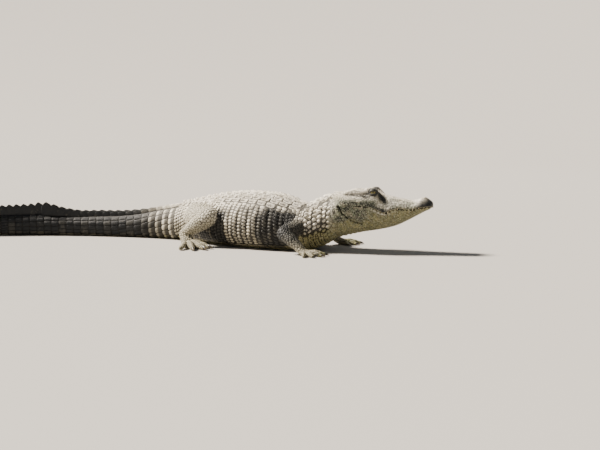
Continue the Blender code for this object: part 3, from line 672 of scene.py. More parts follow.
def lid_object(side, way, edge_turn, root_turn, power, rim, body, rise, pleats):
    """A shell over the eyeball: its inner face, its rounded free edge and its folded outer face.

    Turned outwards, u runs from the front corner to the rear one and v round the shell's section."""
    out, snout, up = EYE_AXES[side]
    u = np.linspace(-1.2, 1.2, 57)[:, None]
    inner, edge, outer = np.linspace(1.0, 0.06, 6), np.linspace(0.0, 1.0, 5), np.linspace(0.06, 1.0, 22)
    first = way * edge_turn * np.clip(1.0 - u ** 2, 0.0, 1.0) ** power - 3.0 * u
    v = np.concatenate([inner, 0.06 * (1.0 - np.sin(np.pi * edge)), outer])[None, :]
    shell_out = body + rise * np.sin(np.pi * outer) ** 0.8 - 0.0075 * smooth(outer, 0.72, 1.0)
    shell_out += 0.0005 * np.cos(2.0 * np.pi * outer * pleats) * smooth(outer, 0.10, 0.25)
    radius = EYE_RADIUS + np.concatenate([0.0002 - 0.004 * smooth(inner, 0.5, 1.0), 0.0002 + rim * edge,
                                          shell_out])[None, :]
    radius = radius - 0.0060 * smooth(np.abs(u), 0.92, 1.2) * (v > 0.05)
    elevation = np.radians(first + (way * root_turn - first) * v)[..., None]
    ahead = (np.radians(u * LID_AHEAD) * np.ones(v.shape))[..., None]
    ball = unit(np.cos(ahead) * np.cos(elevation) * out
                - np.sin(ahead) * np.cos(np.clip(np.abs(elevation), 0, 1.2)) * snout
                + np.sin(elevation) * up)
    return mesh_object("lid", *tube(EYE_CENTRES[side] + ball * radius[..., None]))


others = [lid_object(side, *lid) for side, _ in SIDES for lid in LIDS]
for upper, lower, hand, toes, _, webs in LEGS.values():
    whole = upper.flesh("leg", 0.006, 36)
    rest = [lower.flesh("lower", 0.006, 30), hand.flesh("palm", 0.005, 30)]
    rest += [toe.flesh("toe", 0.0045, 14) for toe in toes] + [web_object(*web) for web in webs]
    others.append(unite(whole, rest))
unite(skin, others)


def read_numbers(items, name, kind, width):
    """One value of every item of a mesh, as rows of the given width."""
    values = np.empty(len(items) * width, kind)
    items.foreach_get(name, values)
    return values.reshape(-1, width)


def limb_distance(points):
    """Distance from the surface of the nearest upper or lower limb segment or palm, roughly."""
    nearest = np.full(len(points), 9.0)
    for segment in (segment for leg in LEGS.values() for segment in leg[:3]):
        for a, b, size in zip(segment.joints[:-1], segment.joints[1:], segment.sizes[:-1]):
            t = np.clip((points - a) @ (b - a) / ((b - a) @ (b - a)), 0, 1)
            far = np.linalg.norm(points - a - t[:, None] * (b - a), axis=1)
            nearest = np.minimum(nearest, far - size.mean())
    return nearest


# Where legs meet the body, where segments meet and round the lids, the flesh is eased into soft folds
EASING_PASSES = 14
skin_points = read_numbers(skin.data.vertices, "co", np.float32, 3).astype(float)
station, out_right, _, off_body = locate(skin_points)
on_limb = smooth(off_body, 0.004, 0.010) * (station > 0.45)
eased = smooth(limb_distance(skin_points), 0.022, 0.006) * smooth(off_body, 0.045, 0.012) * (station > 0.48)
for leg in LEGS.values():
    for middle in leg[1].joints[[0, -1]]:
        eased = np.maximum(eased, smooth(np.linalg.norm(skin_points - middle, axis=1), 0.075, 0.045))
for side, (out, snout, up) in EYE_AXES.items():
    offset = skin_points - EYE_CENTRES[side]
    opening = np.hypot(np.arctan2(offset @ snout, offset @ out) / math.radians(LID_AHEAD),
                       np.arctan2(offset @ up, offset @ out) / math.radians(50.0))
    distance = np.linalg.norm(offset, axis=1)
    eased = np.maximum(eased, 0.6 * smooth(opening, 0.85, 1.2) * smooth(distance, 0.030, 0.022))
edges = read_numbers(skin.data.edges, "vertices", np.int32, 2)
valence = np.bincount(edges.ravel(), minlength=len(skin_points))
for _ in range(EASING_PASSES):
    total = np.stack([np.bincount(edges[:, 0], skin_points[edges[:, 1], axis], len(skin_points))
                      + np.bincount(edges[:, 1], skin_points[edges[:, 0], axis], len(skin_points))
                      for axis in range(3)], 1)
    skin_points += (total / np.maximum(valence, 1)[:, None] - skin_points) * (0.6 * eased)[:, None]
skin_points[:, 2] = np.maximum(skin_points[:, 2], REST_LEVEL * 0.6)
skin.data.vertices.foreach_set("co", skin_points.astype(np.float32).ravel())
skin.data.polygons.foreach_set("use_smooth", np.ones(len(skin.data.polygons), bool))
skin.data.update()


def eye_distance(points):
    """Distance of each point from the centre of the nearer eye, and how far it lies outwards of it."""
    nearest, outwards = np.full(len(points), 9.0), np.zeros(len(points))
    for side, (out, _, _) in EYE_AXES.items():
        offset = points - EYE_CENTRES[side]
        far = np.linalg.norm(offset, axis=1)
        outwards = np.where(far < nearest, offset @ out, outwards)
        nearest = np.minimum(nearest, far)
    return nearest, outwards


def markings(points):
    """Where the hide is cream, where dark, where mottled and where pale, from a place on the animal.

    Cream runs along jaw, throat and belly. The tail is dark in its own colour and deeper as painted shade.
    Painted shade or shadow darkens the snout tip, the flank behind the shoulder, the lower flank, the
    groin below the shank, the upper arm (also dark in its own colour), the skin round and behind the eye,
    the groove by the skull table, a slanted patch before the eye and a band over the lip. Cheeks are
    mottled; back, neck and the top of the head are pale, partly bleached hide and partly painted sunlight."""
    s, right, way, lift = locate(points)
    turn, side, z = np.abs(way) / half_round(s), np.abs(right), points[:, 2]
    limb = smooth(lift, 0.006, 0.014) * (s > 0.45)
    wobble = 0.020 * np.sin(37.0 * s + 3.0 * np.sin(19.0 * s)) + 0.015 * np.sin(90.0 * z + 40.0 * s)
    lip = along(LIP_LEVEL, s)
    under_lip = smooth(z, lip + 0.003, lip - 0.007) * smooth(s, 0.46, 0.40)
    low_jaw = smooth(z, 0.158 + 0.4 * wobble, 0.138 + 0.4 * wobble)
    jaw = under_lip * np.maximum(smooth(s, 0.31, 0.25), low_jaw)
    throat = smooth(z, 0.125 + wobble, 0.080 + wobble) * band(s, 0.36, 0.44, 0.56, 0.66) * (1 - limb)
    belly = smooth(turn + wobble, 0.70, 0.80) * smooth(s, 0.50, 0.60) * (1 - 0.65 * smooth(s, 1.32, 1.60))
    jaw_edge = bump((s - 0.225) / 0.050, (z - lip + 0.0125) / 0.0055)
    under_leg = 0.25 * limb * smooth(z, 0.030, 0.006)
    cream = np.clip(np.maximum.reduce([jaw * 0.9, throat, belly * (1 - limb), under_leg]), 0, 1)
    cream = cream * (1 - 0.85 * jaw_edge)
    # Painted shade and shadow: the tail (also dark in its own colour, its top a little lighter), the flank
    # behind the shoulder, the upper arm (partly its own dark colour), the lower flank, the groin below the
    # shank, the snout tip, the slope before the eye, the skin round and behind the eye, the groove along the
    # skull table's side and the band over the lip.
    tail = smooth(s + 0.8 * wobble - 0.05 * smooth(turn, 0.35, 0.05), 1.31, 1.54)
    shoulder = band(s + wobble, 0.535, 0.590, 0.670, 0.830) * smooth(turn + 0.6 * wobble, 0.26, 0.33)
    upper_arm_dark_and_shade = limb * smooth(s, 0.80, 0.72) * band(z, 0.015, 0.080, 0.11, 0.19)
    flank = 0.30 * smooth(turn, 0.40, 0.52) * band(s, 0.58, 0.62, 1.25, 1.35) * (1 - limb)
    groin_shadow_top = 0.168 - 0.70 * np.maximum(s - 0.968, 0.0)
    groin_shadow = band(s, 0.860, 0.905, 1.12, 1.17) * smooth(z, groin_shadow_top + 0.008, groin_shadow_top - 0.014) * (1 - limb)
    snout_tip_shade = smooth(s + 1.1 * (z - 0.225) + 0.4 * wobble, 0.060, 0.026) * (1 - 0.6 * jaw)
    before_eye_shadow = bump((s - 0.222) / 0.026, (z - 0.246 - 1.0 * (s - 0.222)) / 0.0125) * smooth(s, 0.30, 0.27)
    before_eye_shadow = before_eye_shadow * smooth(side, 0.026, 0.040) * (1 - under_lip)
    shade_behind_eye = bump((s - 0.283) / 0.017, (z - 0.2625) / 0.0075) * smooth(side, 0.044, 0.054)
    temple_groove_shade = bump((side - 0.0655) / 0.0070) * band(s, 0.262, 0.285, 0.370, 0.400) * smooth(z, 0.232, 0.242)
    lip_shade = bump((s - 0.218) / 0.040, (z - lip - 0.0045) / 0.0075)
    shade_round_eye = smooth(eye_distance(points)[0], 0.027, 0.020)
    dark = np.maximum.reduce([tail, 0.85 * lip_shade, 0.85 * shade_behind_eye, 0.90 * shoulder, 0.75 * upper_arm_dark_and_shade,
                              flank, 0.85 * groin_shadow, 0.95 * snout_tip_shade, before_eye_shadow, 0.80 * shade_round_eye,
                              0.80 * temple_groove_shade])
    bars = smooth(np.sin(2.0 * np.pi * (s + 0.03 * np.sin(9.0 * turn)) / 0.118), 0.55, 0.95)
    bars = bars * smooth(turn, 0.22, 0.34) * smooth(s, 0.62, 0.70) * (1 - limb)
    dark = np.clip(dark - 0.40 * bars * (1 - 0.65 * tail), 0, 1) * (1 - cream)
    cheek = band(s, 0.21, 0.27, 0.40, 0.47) * smooth(z, 0.254, 0.224) * (s < 0.5)
    snout_side = band(s, 0.05, 0.08, 0.20, 0.24) * smooth(side, 0.022, 0.046) * (1 - under_lip)
    mottle = np.maximum.reduce([cheek * (1 - throat) * (1 - 0.6 * jaw), 0.5 * smooth(s, 0.50, 0.42) * throat,
                                0.35 * under_lip, 0.20 * limb, 0.62 * snout_side])
    # Pale is partly the hide's own dry, bleached colour and partly painted sunlight on the tops of back,
    # neck and head; a pale line also runs along the lower jaw's edge.
    snout = 0.9 * smooth(s, 0.44, 0.40) * smooth(z, lip + 0.002, lip + 0.012) * (1 - cheek)
    back = smooth(turn, 0.62, 0.42) * smooth(s, 0.40, 0.44)
    bleached_and_sunlit = np.maximum.reduce([snout, back, jaw_edge]) * (1 - dark) * (1 - 0.40 * limb)
    return np.stack([cream, dark, mottle, np.clip(bleached_and_sunlit, 0, 1)], 1)


def paint(obj, masks, relief, tone):
    """Store the masks, the height within a scale and the scale's own tone on the mesh."""
    attribute = obj.data.attributes.new("markings", "FLOAT_COLOR", "POINT")
    attribute.data.foreach_set("color", np.asarray(masks, np.float32).ravel())
    for name, values in (("relief", relief), ("tone", tone)):
        attribute = obj.data.attributes.new(name, "FLOAT", "POINT")
        attribute.data.foreach_set("value", np.asarray(values, np.float32))


# Noise patterns on the hide: size in millimetres, detail, and the stretch of it that fades in
HIDE_PATTERNS = {"clouds": (90.0, 3.0, 0.35, 0.65), "mud": (31.0, 3.0, 0.12, 0.40),
                 "stains": (17.0, 4.0, 0.55, 0.63), "blotches": (24.0, 2.0, 0.455, 0.53),
                 "bleach": (44.0, 4.0, 0.28, 0.58), "moss": (14.0, 3.0, 0.40, 0.56),
                 "spots": (8.5, 3.0, 0.50, 0.58), "flecks": (7.0, 4.0, 0.54, 0.62),
                 "speckle": (2.6, 4.0, 0.42, 0.62), "chalk": (3.4, 4.0, 0.52, 0.64),
                 "grain": (6.0, 3.0, 0.30, 0.70), "pores": (1.8, 5.0, 0.0, 1.0),
                 "even": (400.0, 0.0, -2.0, -1.0)}
# Coats of colour from the lowest up: which mask shows it, which pattern breaks it up, strength, colour
# The pale coat is partly painted sunlight; the cream coat is laid dark olive, partly as painted shade on the
# jaw; the bluish near-black dark coats are mostly painted shade.
HIDE_COATS = [("whole", "clouds", 0.55, "#857d66"), ("tone", "even", 0.30, "#6f6955"),
              ("bleached_and_sunlit", "bleach", 0.94, "#f1ebdd"), ("bleached_and_sunlit", "stains", 0.55, "#54493b"),
              ("bleached_and_sunlit", "spots", 0.30, "#6d6455"), ("cream", "mud", 0.92, "#878150"),
              ("mottle", "moss", 0.80, "#55654f"), ("mottle", "blotches", 0.90, "#1f2822"),
              ("mottle", "spots", 0.60, "#1e241b"), ("mottle", "flecks", 0.60, "#b9bda0"),
              ("whole", "speckle", 0.26, "#4b4639"), ("relief", "chalk", 0.34, "#f0e9d9"),
              ("dark", "even", 0.76, "#131a22"), ("dark", "mud", 0.90, "#0e141b")]


def hide_finish(name, pale, roughness, crack_mm, crack_strength):
    """Keratin over skin: masks lay pale, cream, mottled and dark coats, broken up by noise patterns.

    Dry keratin is chalky and scatters light, so it is rough; gaps and creases are painted dark as shade."""
    material, tree, shader = new_material(name)
    place_in = add_node(tree, "ShaderNodeTexCoord").outputs["Object"]
    masks = add_node(tree, "ShaderNodeAttribute", {"attribute_name": "markings"}).outputs
    split = add_node(tree, "ShaderNodeSeparateColor", inputs={"Color": masks["Color"]}).outputs
    shown = {"cream": split["Red"], "dark": split["Green"], "mottle": split["Blue"],
             "bleached_and_sunlit": masks["Alpha"], "whole": 1.0}
    for word in ("relief", "tone"):
        shown[word] = add_node(tree, "ShaderNodeAttribute", {"attribute_name": word}).outputs["Fac"]
    patterns = {}
    for word, (millimetres, detail, low, high) in HIDE_PATTERNS.items():
        noise = add_node(tree, "ShaderNodeTexNoise", None, {
            "Vector": place_in, "Scale": 1000.0 / millimetres, "Detail": detail, "Roughness": 0.6})
        patterns[word] = add_node(tree, "ShaderNodeMapRange", None, {
            "Value": noise.outputs["Fac"], "From Min": low, "From Max": high}).outputs["Result"]
    colour, multiply, mix = linear(pale), {"operation": "MULTIPLY"}, {"data_type": "RGBA"}
    for mask, pattern, strength, coat_colour in HIDE_COATS:
        amount = add_node(tree, "ShaderNodeMath", multiply, {0: patterns[pattern], 1: shown[mask]})
        amount = add_node(tree, "ShaderNodeMath", multiply, {0: amount.outputs[0], 1: strength})
        colour = add_node(tree, "ShaderNodeMix", mix, {0: amount.outputs[0], 6: colour,
                                                       7: linear(coat_colour)}).outputs[2]
    # Painted shade: where the relief is low, in gaps, creases and scale rims, the colour turns near black.
    gap = add_node(tree, "ShaderNodeMapRange", None, {
        "Value": shown["relief"], "From Min": 0.0, "From Max": 0.80, "To Min": 0.97, "To Max": 0.0})
    colour = add_node(tree, "ShaderNodeMix", mix, {0: gap.outputs[0], 6: colour, 7: linear("#100f0c")})
    tree.links.new(colour.outputs[2], shader.inputs["Base Color"])
    rough = add_node(tree, "ShaderNodeMapRange", None, {
        "Value": patterns["grain"], "To Min": roughness - 0.08, "To Max": roughness + 0.12})
    wet = add_node(tree, "ShaderNodeMath", multiply, {0: split["Green"], 1: 0.12})
    rough = add_node(tree, "ShaderNodeMath", {"operation": "SUBTRACT", "use_clamp": True},
                     {0: rough.outputs[0], 1: wet.outputs[0]})
    tree.links.new(rough.outputs[0], shader.inputs["Roughness"])
    cracks = add_node(tree, "ShaderNodeTexVoronoi", {"feature": "DISTANCE_TO_EDGE"},
                      {"Vector": place_in, "Scale": 1000.0 / crack_mm})
    cracks = add_node(tree, "ShaderNodeMapRange", None, {
        "Value": cracks.outputs["Distance"], "From Min": 0.0, "From Max": 0.12})
    fine = add_node(tree, "ShaderNodeBump", None, {
        "Height": cracks.outputs["Result"], "Strength": crack_strength, "Distance": 0.0006})
    coarse = add_node(tree, "ShaderNodeBump", None, {
        "Height": patterns["pores"], "Strength": 0.60, "Distance": 0.0008, "Normal": fine.outputs["Normal"]})
    tree.links.new(coarse.outputs["Normal"], shader.inputs["Normal"])
    shader.inputs["Specular IOR Level"].default_value = 0.22
    return material


# Bare hide: thin leathery skin over bone and between scales, satin where it is stretched
skin.data.materials.clear()
skin.data.materials.append(hide_finish("bare_leathery_hide", "#98917c", 0.55, 3.2, 0.5))
skin.data.polygons.foreach_set("material_index", np.zeros(len(skin.data.polygons), np.int32))


def creases(points, s, right):
    """Distances from the mouth line, the nostrils, the ear slit and the fold behind the jaw."""
    lip, width = along(LIP_LEVEL, s), along(LIP_WIDTH, s)
    side, z = np.abs(right), points[:, 2]
    mouth = np.hypot(np.maximum(np.abs(side - width + 0.010) - 0.004, 0.0),
                     np.maximum(np.abs(z - lip + 0.0042) - 0.0026 * smooth(s, 0.0, 0.016), 0.0))
    mouth += 0.006 * smooth(s, 0.315, 0.345)
    nostril = np.hypot(s - NOSTRIL_SPOT[0], side - NOSTRIL_SPOT[1]) + 9.0 * (z < lip + 0.012)
    beyond = np.maximum(np.maximum(EAR_ENDS[0] - s, s - EAR_ENDS[1]), 0.0)
    ear = np.hypot(side - EAR_SIDE, beyond) + 9.0 * (z < lip + 0.02)
    fold = from_line(s, z, JAW_FOLD) + 9.0 * ((z > lip + 0.004) | (side < 0.05))
    return np.array([mouth, nostril, ear, fold]) + 9.0 * (s > 0.45)


# Low relief is painted as shade: bare skin between scales and in the creases turns near black; lids and the
# lip rim stay pale.
skin_relief = 0.06 + 0.24 * on_limb + 0.54 * smooth(station, 0.45, 0.43)
eye_far, eye_outwards = eye_distance(skin_points)
lids = smooth(eye_far, 0.0260, 0.0225) * smooth(eye_outwards, 0.002, 0.006)
lip_far = np.abs(skin_points[:, 2] - along(LIP_LEVEL, station) + 0.002)
lip_rim = smooth(lip_far, 0.009, 0.005) * (station < 0.42)
skin_relief = np.maximum(skin_relief, 0.85 * np.maximum(lids, lip_rim))
# How far each crease is painted wholly dark as shade, and where the hide is pale again
CREASE_WIDTHS = ((0.0020, 0.0040), (0.0025, 0.0055), (0.0012, 0.0030), (0.0016, 0.0036))
for crease, (dark_to, pale_from) in zip(creases(skin_points, station, out_right), CREASE_WIDTHS):
    skin_relief *= smooth(crease, dark_to, pale_from)
paint(skin, markings(skin_points), skin_relief, np.full(len(skin_points), 0.5))
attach(skin, "root")
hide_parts(*(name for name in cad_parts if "eye" not in name and "claw" not in name))


def unwrap(obj, name, places):
    """Store an unwrap on an object, from one place in it for each point."""
    corners = read_numbers(obj.data.loops, "vertex_index", np.int32, 1)[:, 0]
    obj.data.uv_layers.new(name=name).data.foreach_set("uv", places[corners].astype(np.float32).ravel())


# Eyes.
# Each is a ball with a raised front, a gold-green iris and an upright slit. Tears keep it wet, so a
# sharp glint lies over the soft colours of the iris.
EYE_ROUNDS, EYE_RINGS, FRONT_RISE, FLECK_MM = 48, 36, 0.045, 0.5
wet_eye, tree, shader = new_material("wet_slit_eye")
gaze = add_node(tree, "ShaderNodeUVMap", {"uv_map": "gaze"}).outputs["UV"]
middle, slit_scale, size_of = (0.5, 0.5, 0.0), (19.0, 3.2, 0.0), {"operation": "LENGTH"}
centred = add_node(tree, "ShaderNodeVectorMath", {"operation": "SUBTRACT"}, {0: gaze, 1: middle}).outputs[0]
from_middle = add_node(tree, "ShaderNodeVectorMath", size_of, {0: centred}).outputs["Value"]
slit = add_node(tree, "ShaderNodeVectorMath", {"operation": "MULTIPLY"}, {0: centred, 1: slit_scale})
from_slit = add_node(tree, "ShaderNodeVectorMath", size_of, {0: slit.outputs[0]}).outputs["Value"]
fleck = add_node(tree, "ShaderNodeTexNoise", None, {
    "Vector": gaze, "Scale": 2000.0 * EYE_RADIUS / FLECK_MM, "Detail": 4.0}).outputs["Fac"]
# The iris is laid dark olive, partly its own colour and partly painted shade under the heavy lid.
# Iris colours from the middle out, then the slit: what drives each, from nought to full, and its colour
iris = linear("#544e24")
for driver, low, high, colour in ((fleck, 0.35, 0.65, "#7d7338"), (from_middle, 0.24, 0.38, "#413c1e"),
                                  (from_middle, 0.38, 0.43, "#17150f"), (from_slit, 1.15, 0.95, "#030302")):
    amount = add_node(tree, "ShaderNodeMapRange", None, {"Value": driver, "From Min": low, "From Max": high})
    iris = add_node(tree, "ShaderNodeMix", {"data_type": "RGBA"}, {0: amount.outputs["Result"], 6: iris,
                                                                   7: linear(colour)}).outputs[2]
tree.links.new(iris, shader.inputs["Base Color"])
for word, value in (("Roughness", 0.08), ("Coat Weight", 1.0), ("Coat Roughness", 0.03), ("IOR", 1.376)):
    shader.inputs[word].default_value = value

polar = np.linspace(0.0, np.pi, EYE_RINGS + 2)[1:-1, None]
turn = np.linspace(0.0, 2.0 * np.pi, EYE_ROUNDS, endpoint=False)[None, :]
across, upright = np.sin(polar) * np.cos(turn), np.sin(polar) * np.sin(turn)
front = np.cos(polar) * np.ones(turn.shape)
eye_radius = EYE_RADIUS * (0.985 + FRONT_RISE * bump(polar / 0.62))[..., None]
gaze_map = np.stack([0.5 + across / 2.0, 0.5 + upright / 2.0], -1).reshape(-1, 2)
for side, word in SIDES:
    out, snout, up = EYE_AXES[side]
    ball = (front[..., None] * out + across[..., None] * snout + upright[..., None] * up) * eye_radius
    eye = mesh_object(f"eyeball_{word}", *tube(EYE_CENTRES[side] + ball), wet_eye)
    unwrap(eye, "gaze", np.concatenate([gaze_map, [[0.5, 0.5], [0.5, 0.5]]]))
    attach(eye, "root")
    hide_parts(f"eye_{word}")


# Scales.
# Horny plates over bone on the back, plain horn elsewhere: each is a closed lens or keeled shield
# pressed into the skin, overlapping tailwards, with its own patch on an unwrap of the skin.
TRUNK_ROWS, FRONT_ROW_PITCH, REAR_ROW_PITCH, TAIL_WHORLS, MERGE_WHORL = 17, 0.0465, 0.0385, 40, 18
KEEL_RISE = [(0.42, 0.008), (0.50, 0.011), (0.56, 0.005), (0.60, 0.007), (0.68, 0.010),
             (1.20, 0.010), (1.44, 0.014), (1.65, 0.019), (1.75, 0.023), (1.85, 0.027),
             (1.94, 0.042), (2.02, 0.062), (2.10, 0.053), (2.24, 0.050), (2.40, 0.038),
             (2.55, 0.024), (2.66, 0.011), (2.73, 0.002)]
CREST_OFFSET = [(1.30, 0.052), (1.50, 0.040), (1.70, 0.027), (1.90, 0.014), (2.00, 0.010)]
PATCH, SINK, FLOOR_CLEAR, NORMAL_STEP = 0.003, 0.0016, 0.0004, 0.0015
# Which stations and ways round each unwrap of the skin covers
BACK_CHART, FLANK_CHART = (0.40, 1.32, -0.25, 0.25), (0.56, 1.33, -0.45, 0.45)
NECK_CHART, THROAT_CHART = (0.40, 0.64, -0.30, 0.30), (0.40, 0.64, -0.36, 0.36)
TAIL_CHART = (1.28, 2.75, -0.28, 0.28)

# Horn over bone is dry and cracked and looks chalky; flank scales are leathery; belly plates are worn
# smooth and take a soft sheen; the hide of the face is tight, cracked and satin
back_horn = hide_finish("dry_keeled_back_horn", "#c9c1ad", 0.62, 2.4, 0.6)
flank_horn = hide_finish("leathery_flank_scale", "#bdb49c", 0.52, 2.0, 0.35)
belly_horn = hide_finish("smooth_belly_scale", "#b3aa8c", 0.42, 4.0, 0.2)
face_hide = hide_finish("cracked_face_hide", "#aaa28c", 0.52, 2.6, 0.45)

trunk_fronts = np.cumsum([FIRST_ROW, *np.linspace(FRONT_ROW_PITCH, REAR_ROW_PITCH, TRUNK_ROWS)])
trunk_fronts *= VENT / trunk_fronts[-1]
trunk_fronts += (FIRST_ROW - trunk_fronts[0]) * (VENT - trunk_fronts) / (VENT - trunk_fronts[0])
whorl_lengths = np.linspace(1.12, 0.72, TAIL_WHORLS)
whorl_lengths *= (TOTAL_LENGTH - VENT) / whorl_lengths.sum()
tail_fronts = VENT + np.concatenate([[0.0], np.cumsum(whorl_lengths)])
skin_tree = BVHTree.FromObject(skin, bpy.context.evaluated_depsgraph_get())


def rounded(angle, squareness):
    """Sideways and lengthways places on a rounded oblong in the given directions."""
    return [np.sign(way(angle)) * np.abs(way(angle)) ** (2.0 / squareness) for way in (np.cos, np.sin)]


def shield(count, reaches, squareness):
    """Rings of places on a rounded oblong, each with its reach, then the middle top and bottom."""
    reaches = np.array(reaches)[:, None]
    a, b = rounded(2.0 * np.pi * np.arange(count) / count, squareness)
    return {"a": np.append(reaches * a, [0.0, 0.0]), "b": np.append(reaches * b, [0.0, 0.0]),
            "reach": np.append(reaches * np.ones(count), [0.0, 1.0]), "rings": (len(reaches), count)}


def lay_scales(surface, x, y, long, wide, high, shape, keel=0.0, keel_width=0.30, lean=0.25, reach=0.011,
               chart=FLANK_CHART, cell=(0.0, 0.0, 1.0, 1.0), rugged=0.0, rng=None, top=1.0, keel_shadow=0.0,
               front_shadow=0.0):
    """Scales rooted at distances x along and y round a surface, each moved onto the finished skin.

    A scale's top is a flattened dome, plus a ridge that climbs to the rear and drops at its end.
    A painted keel shadow darkens the hollows on both sides of the ridge by the share given, and a
    painted shadow of the scale before it darkens the front of a scale by its own share."""
    def slopes(x, y):
        """Normals of the surface, not yet of length one: its slope along times its slope round it."""
        return np.cross(surface(x + NORMAL_STEP, y) - surface(x - NORMAL_STEP, y),
                        surface(x, y + NORMAL_STEP) - surface(x, y - NORMAL_STEP))

    values = [np.array(value, float) for value in np.broadcast_arrays(x, y, long, wide, high, keel, front_shadow)]
    roots = surface(*values[:2])
    hits = [skin_tree.find_nearest(Vector(root)) for root in roots]
    spots, normals = np.array([hit[0] for hit in hits]), np.array([hit[1] for hit in hits])
    facing = (unit(slopes(*values[:2])) * normals).sum(1)
    flip = np.sign(np.median(facing))
    kept = (np.linalg.norm(spots - roots, axis=1) < reach) & (facing * flip > 0.35)
    x, y, long, wide, high, keel, front_shadow = (value[kept, None] for value in values)
    a, b, edge = shape["a"], shape["b"], shape["reach"]
    far_x, far_y = x + a * long / 2.0, y + b * wide / 2.0
    dome = np.clip(1.0 - edge ** 3.0, 0.0, 1.0) ** 0.5
    ridge = np.clip(1.0 - np.abs(b), 0, 1) ** (1.0 / keel_width) * smooth(edge, 1.0, 0.80)
    climb = (0.30 + 0.70 * smooth(a, -0.8, 0.50)) * smooth(a, 1.05, 0.74)
    height = high * dome * (1.0 + lean * a) + keel * ridge * climb
    if rugged:
        height = height + rugged * rng.normal(0.0, 1.0, height.shape) * (edge < 0.9) * (edge > 0.05)
    height = np.where(edge >= 1.0, -SINK, height)
    points = surface(far_x, far_y) + (spots - roots)[kept][:, None]
    points = points + unit(slopes(far_x, far_y) * flip) * height[..., None]
    points[..., 2] = np.maximum(points[..., 2], FLOOR_CLEAR)
    x0, x1, y0, y1 = chart
    u = cell[0] + (cell[2] - cell[0]) * (0.02 + 0.96 * (x - x0) / (x1 - x0))
    v = cell[1] + (cell[3] - cell[1]) * (0.02 + 0.96 * (y - y0) / (y1 - y0))
    # Painted shadow: a dark band beside each keel, darkest on the outer side, and a dark front where the
    # scale before would shade it.
    outer = 0.5 + 0.5 * np.sign(y) * np.sign(b)
    keel_shadow_band = bump((np.abs(b) - 0.44) / (0.14 + 0.14 * outer)) * (0.20 + 0.80 * outer)
    unshadowed = 1.0 - keel_shadow * keel_shadow_band * band(a, -0.55, -0.20, 0.70, 0.90)
    unshadowed = unshadowed * (1.0 - front_shadow * smooth(a, 0.50, -0.10))
    return {"points": points, "uv": np.stack([u + PATCH / 2.0 * a, v + PATCH / 2.0 * b], -1), "edge": edge,
            "rings": shape["rings"], "roots": spots[kept], "top": top * unshadowed,
            "size": (0.5 * np.maximum(long, wide))[:, 0]}


laid = []


def coat_piece(name, batches, material, seed):
    """Join batches of scales into one object with its unwrap, markings, relief and tones."""
    rng = np.random.default_rng(seed)
    columns, start = [], 0
    for batch in batches:
        number, size = batch["points"].shape[:2]
        if not number:
            continue
        starts = start + size * np.arange(number)[:, None, None]
        quads, fans = ((block + starts).reshape(-1, block.shape[1])
                       for block in outward(batch["points"][0], *tube_faces(*batch["rings"])))
        # Relief falls at each scale's rim, which paints the rim dark as shade, like the gaps.
        relief = batch["top"] * smooth(batch["edge"], 1.02, 0.84) * np.ones((number, 1))
        columns.append((batch["points"].reshape(-1, 3), quads, fans, batch["uv"].reshape(-1, 2),
                        np.repeat(markings(batch["roots"]), size, axis=0), relief.ravel(),
                        np.repeat(rng.uniform(0.0, 1.0, number), size)))
        start += number * size
    points, quads, fans, uv, masks, relief, tone = (np.concatenate(column) for column in zip(*columns))
    obj = mesh_object(name, points, [quads, fans], material)
    unwrap(obj, "OFBake", uv)
    paint(obj, masks, relief, tone)
    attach(obj, "root")
    laid.extend((batch["roots"], batch["size"]) for batch in batches)


KEELED = shield(28, (0.14, 0.30, 0.46, 0.60, 0.72, 0.82, 0.90, 0.96, 1.0), 3.8)
KNOB = shield(18, (0.22, 0.46, 0.70, 0.88, 0.97, 1.0), 2.4)
OVAL = shield(12, (0.45, 0.75, 0.93, 1.0), 2.3)
PLATE = shield(16, (0.55, 0.85, 0.96, 1.0), 4.5)
SMALL = shield(8, (0.55, 0.88, 1.0), 2.4)
GRAIN = shield(6, (0.62, 1.0), 2.0)


# Back shield.
# Seventeen rows of keeled shields from shoulder to vent, up to four each side of the middle.
# They are bone under horn, widest between the legs and set close like tiles.
SHIELD_WIDTH = 0.0325
EACH_SIDE = np.repeat([3, 4, 3, 2], [2, 10, 3, 2])
# How far back a shield is moved, and its shares of length, width and keel: the outermost, then the rest
OUTERMOST_SHIELD, INNER_SHIELD = (0.004, 0.85, 0.86, 0.70), (0.0, 0.93, 0.92, 0.92)
rng = np.random.default_rng(11)
rows = []
for row, number in enumerate(EACH_SIDE):
    pitch = trunk_fronts[row + 1] - trunk_fronts[row]
    middle = (trunk_fronts[row] + trunk_fronts[row + 1]) / 2.0
    for side in (1, -1):
        for column in range(number):
            step, long, wide, rise = OUTERMOST_SHIELD if column == number - 1 else INNER_SHIELD
            rows.append((middle + step + rng.normal(0, 0.0008), side * (column + 0.5) * SHIELD_WIDTH,
                         pitch * long, SHIELD_WIDTH * wide, along(KEEL_RISE, middle) * rise))
back_s, back_way, back_long, back_wide, back_keel = np.array(rows).T
# The back shields carry painted keel shadows beside their keels.
back_batch = lay_scales(skin_at, back_s, back_way, back_long, back_wide, 0.0036, KEELED,
                        keel=back_keel * 1.15, keel_width=0.17, chart=BACK_CHART, rugged=0.00026,
                        rng=rng, keel_shadow=0.97)


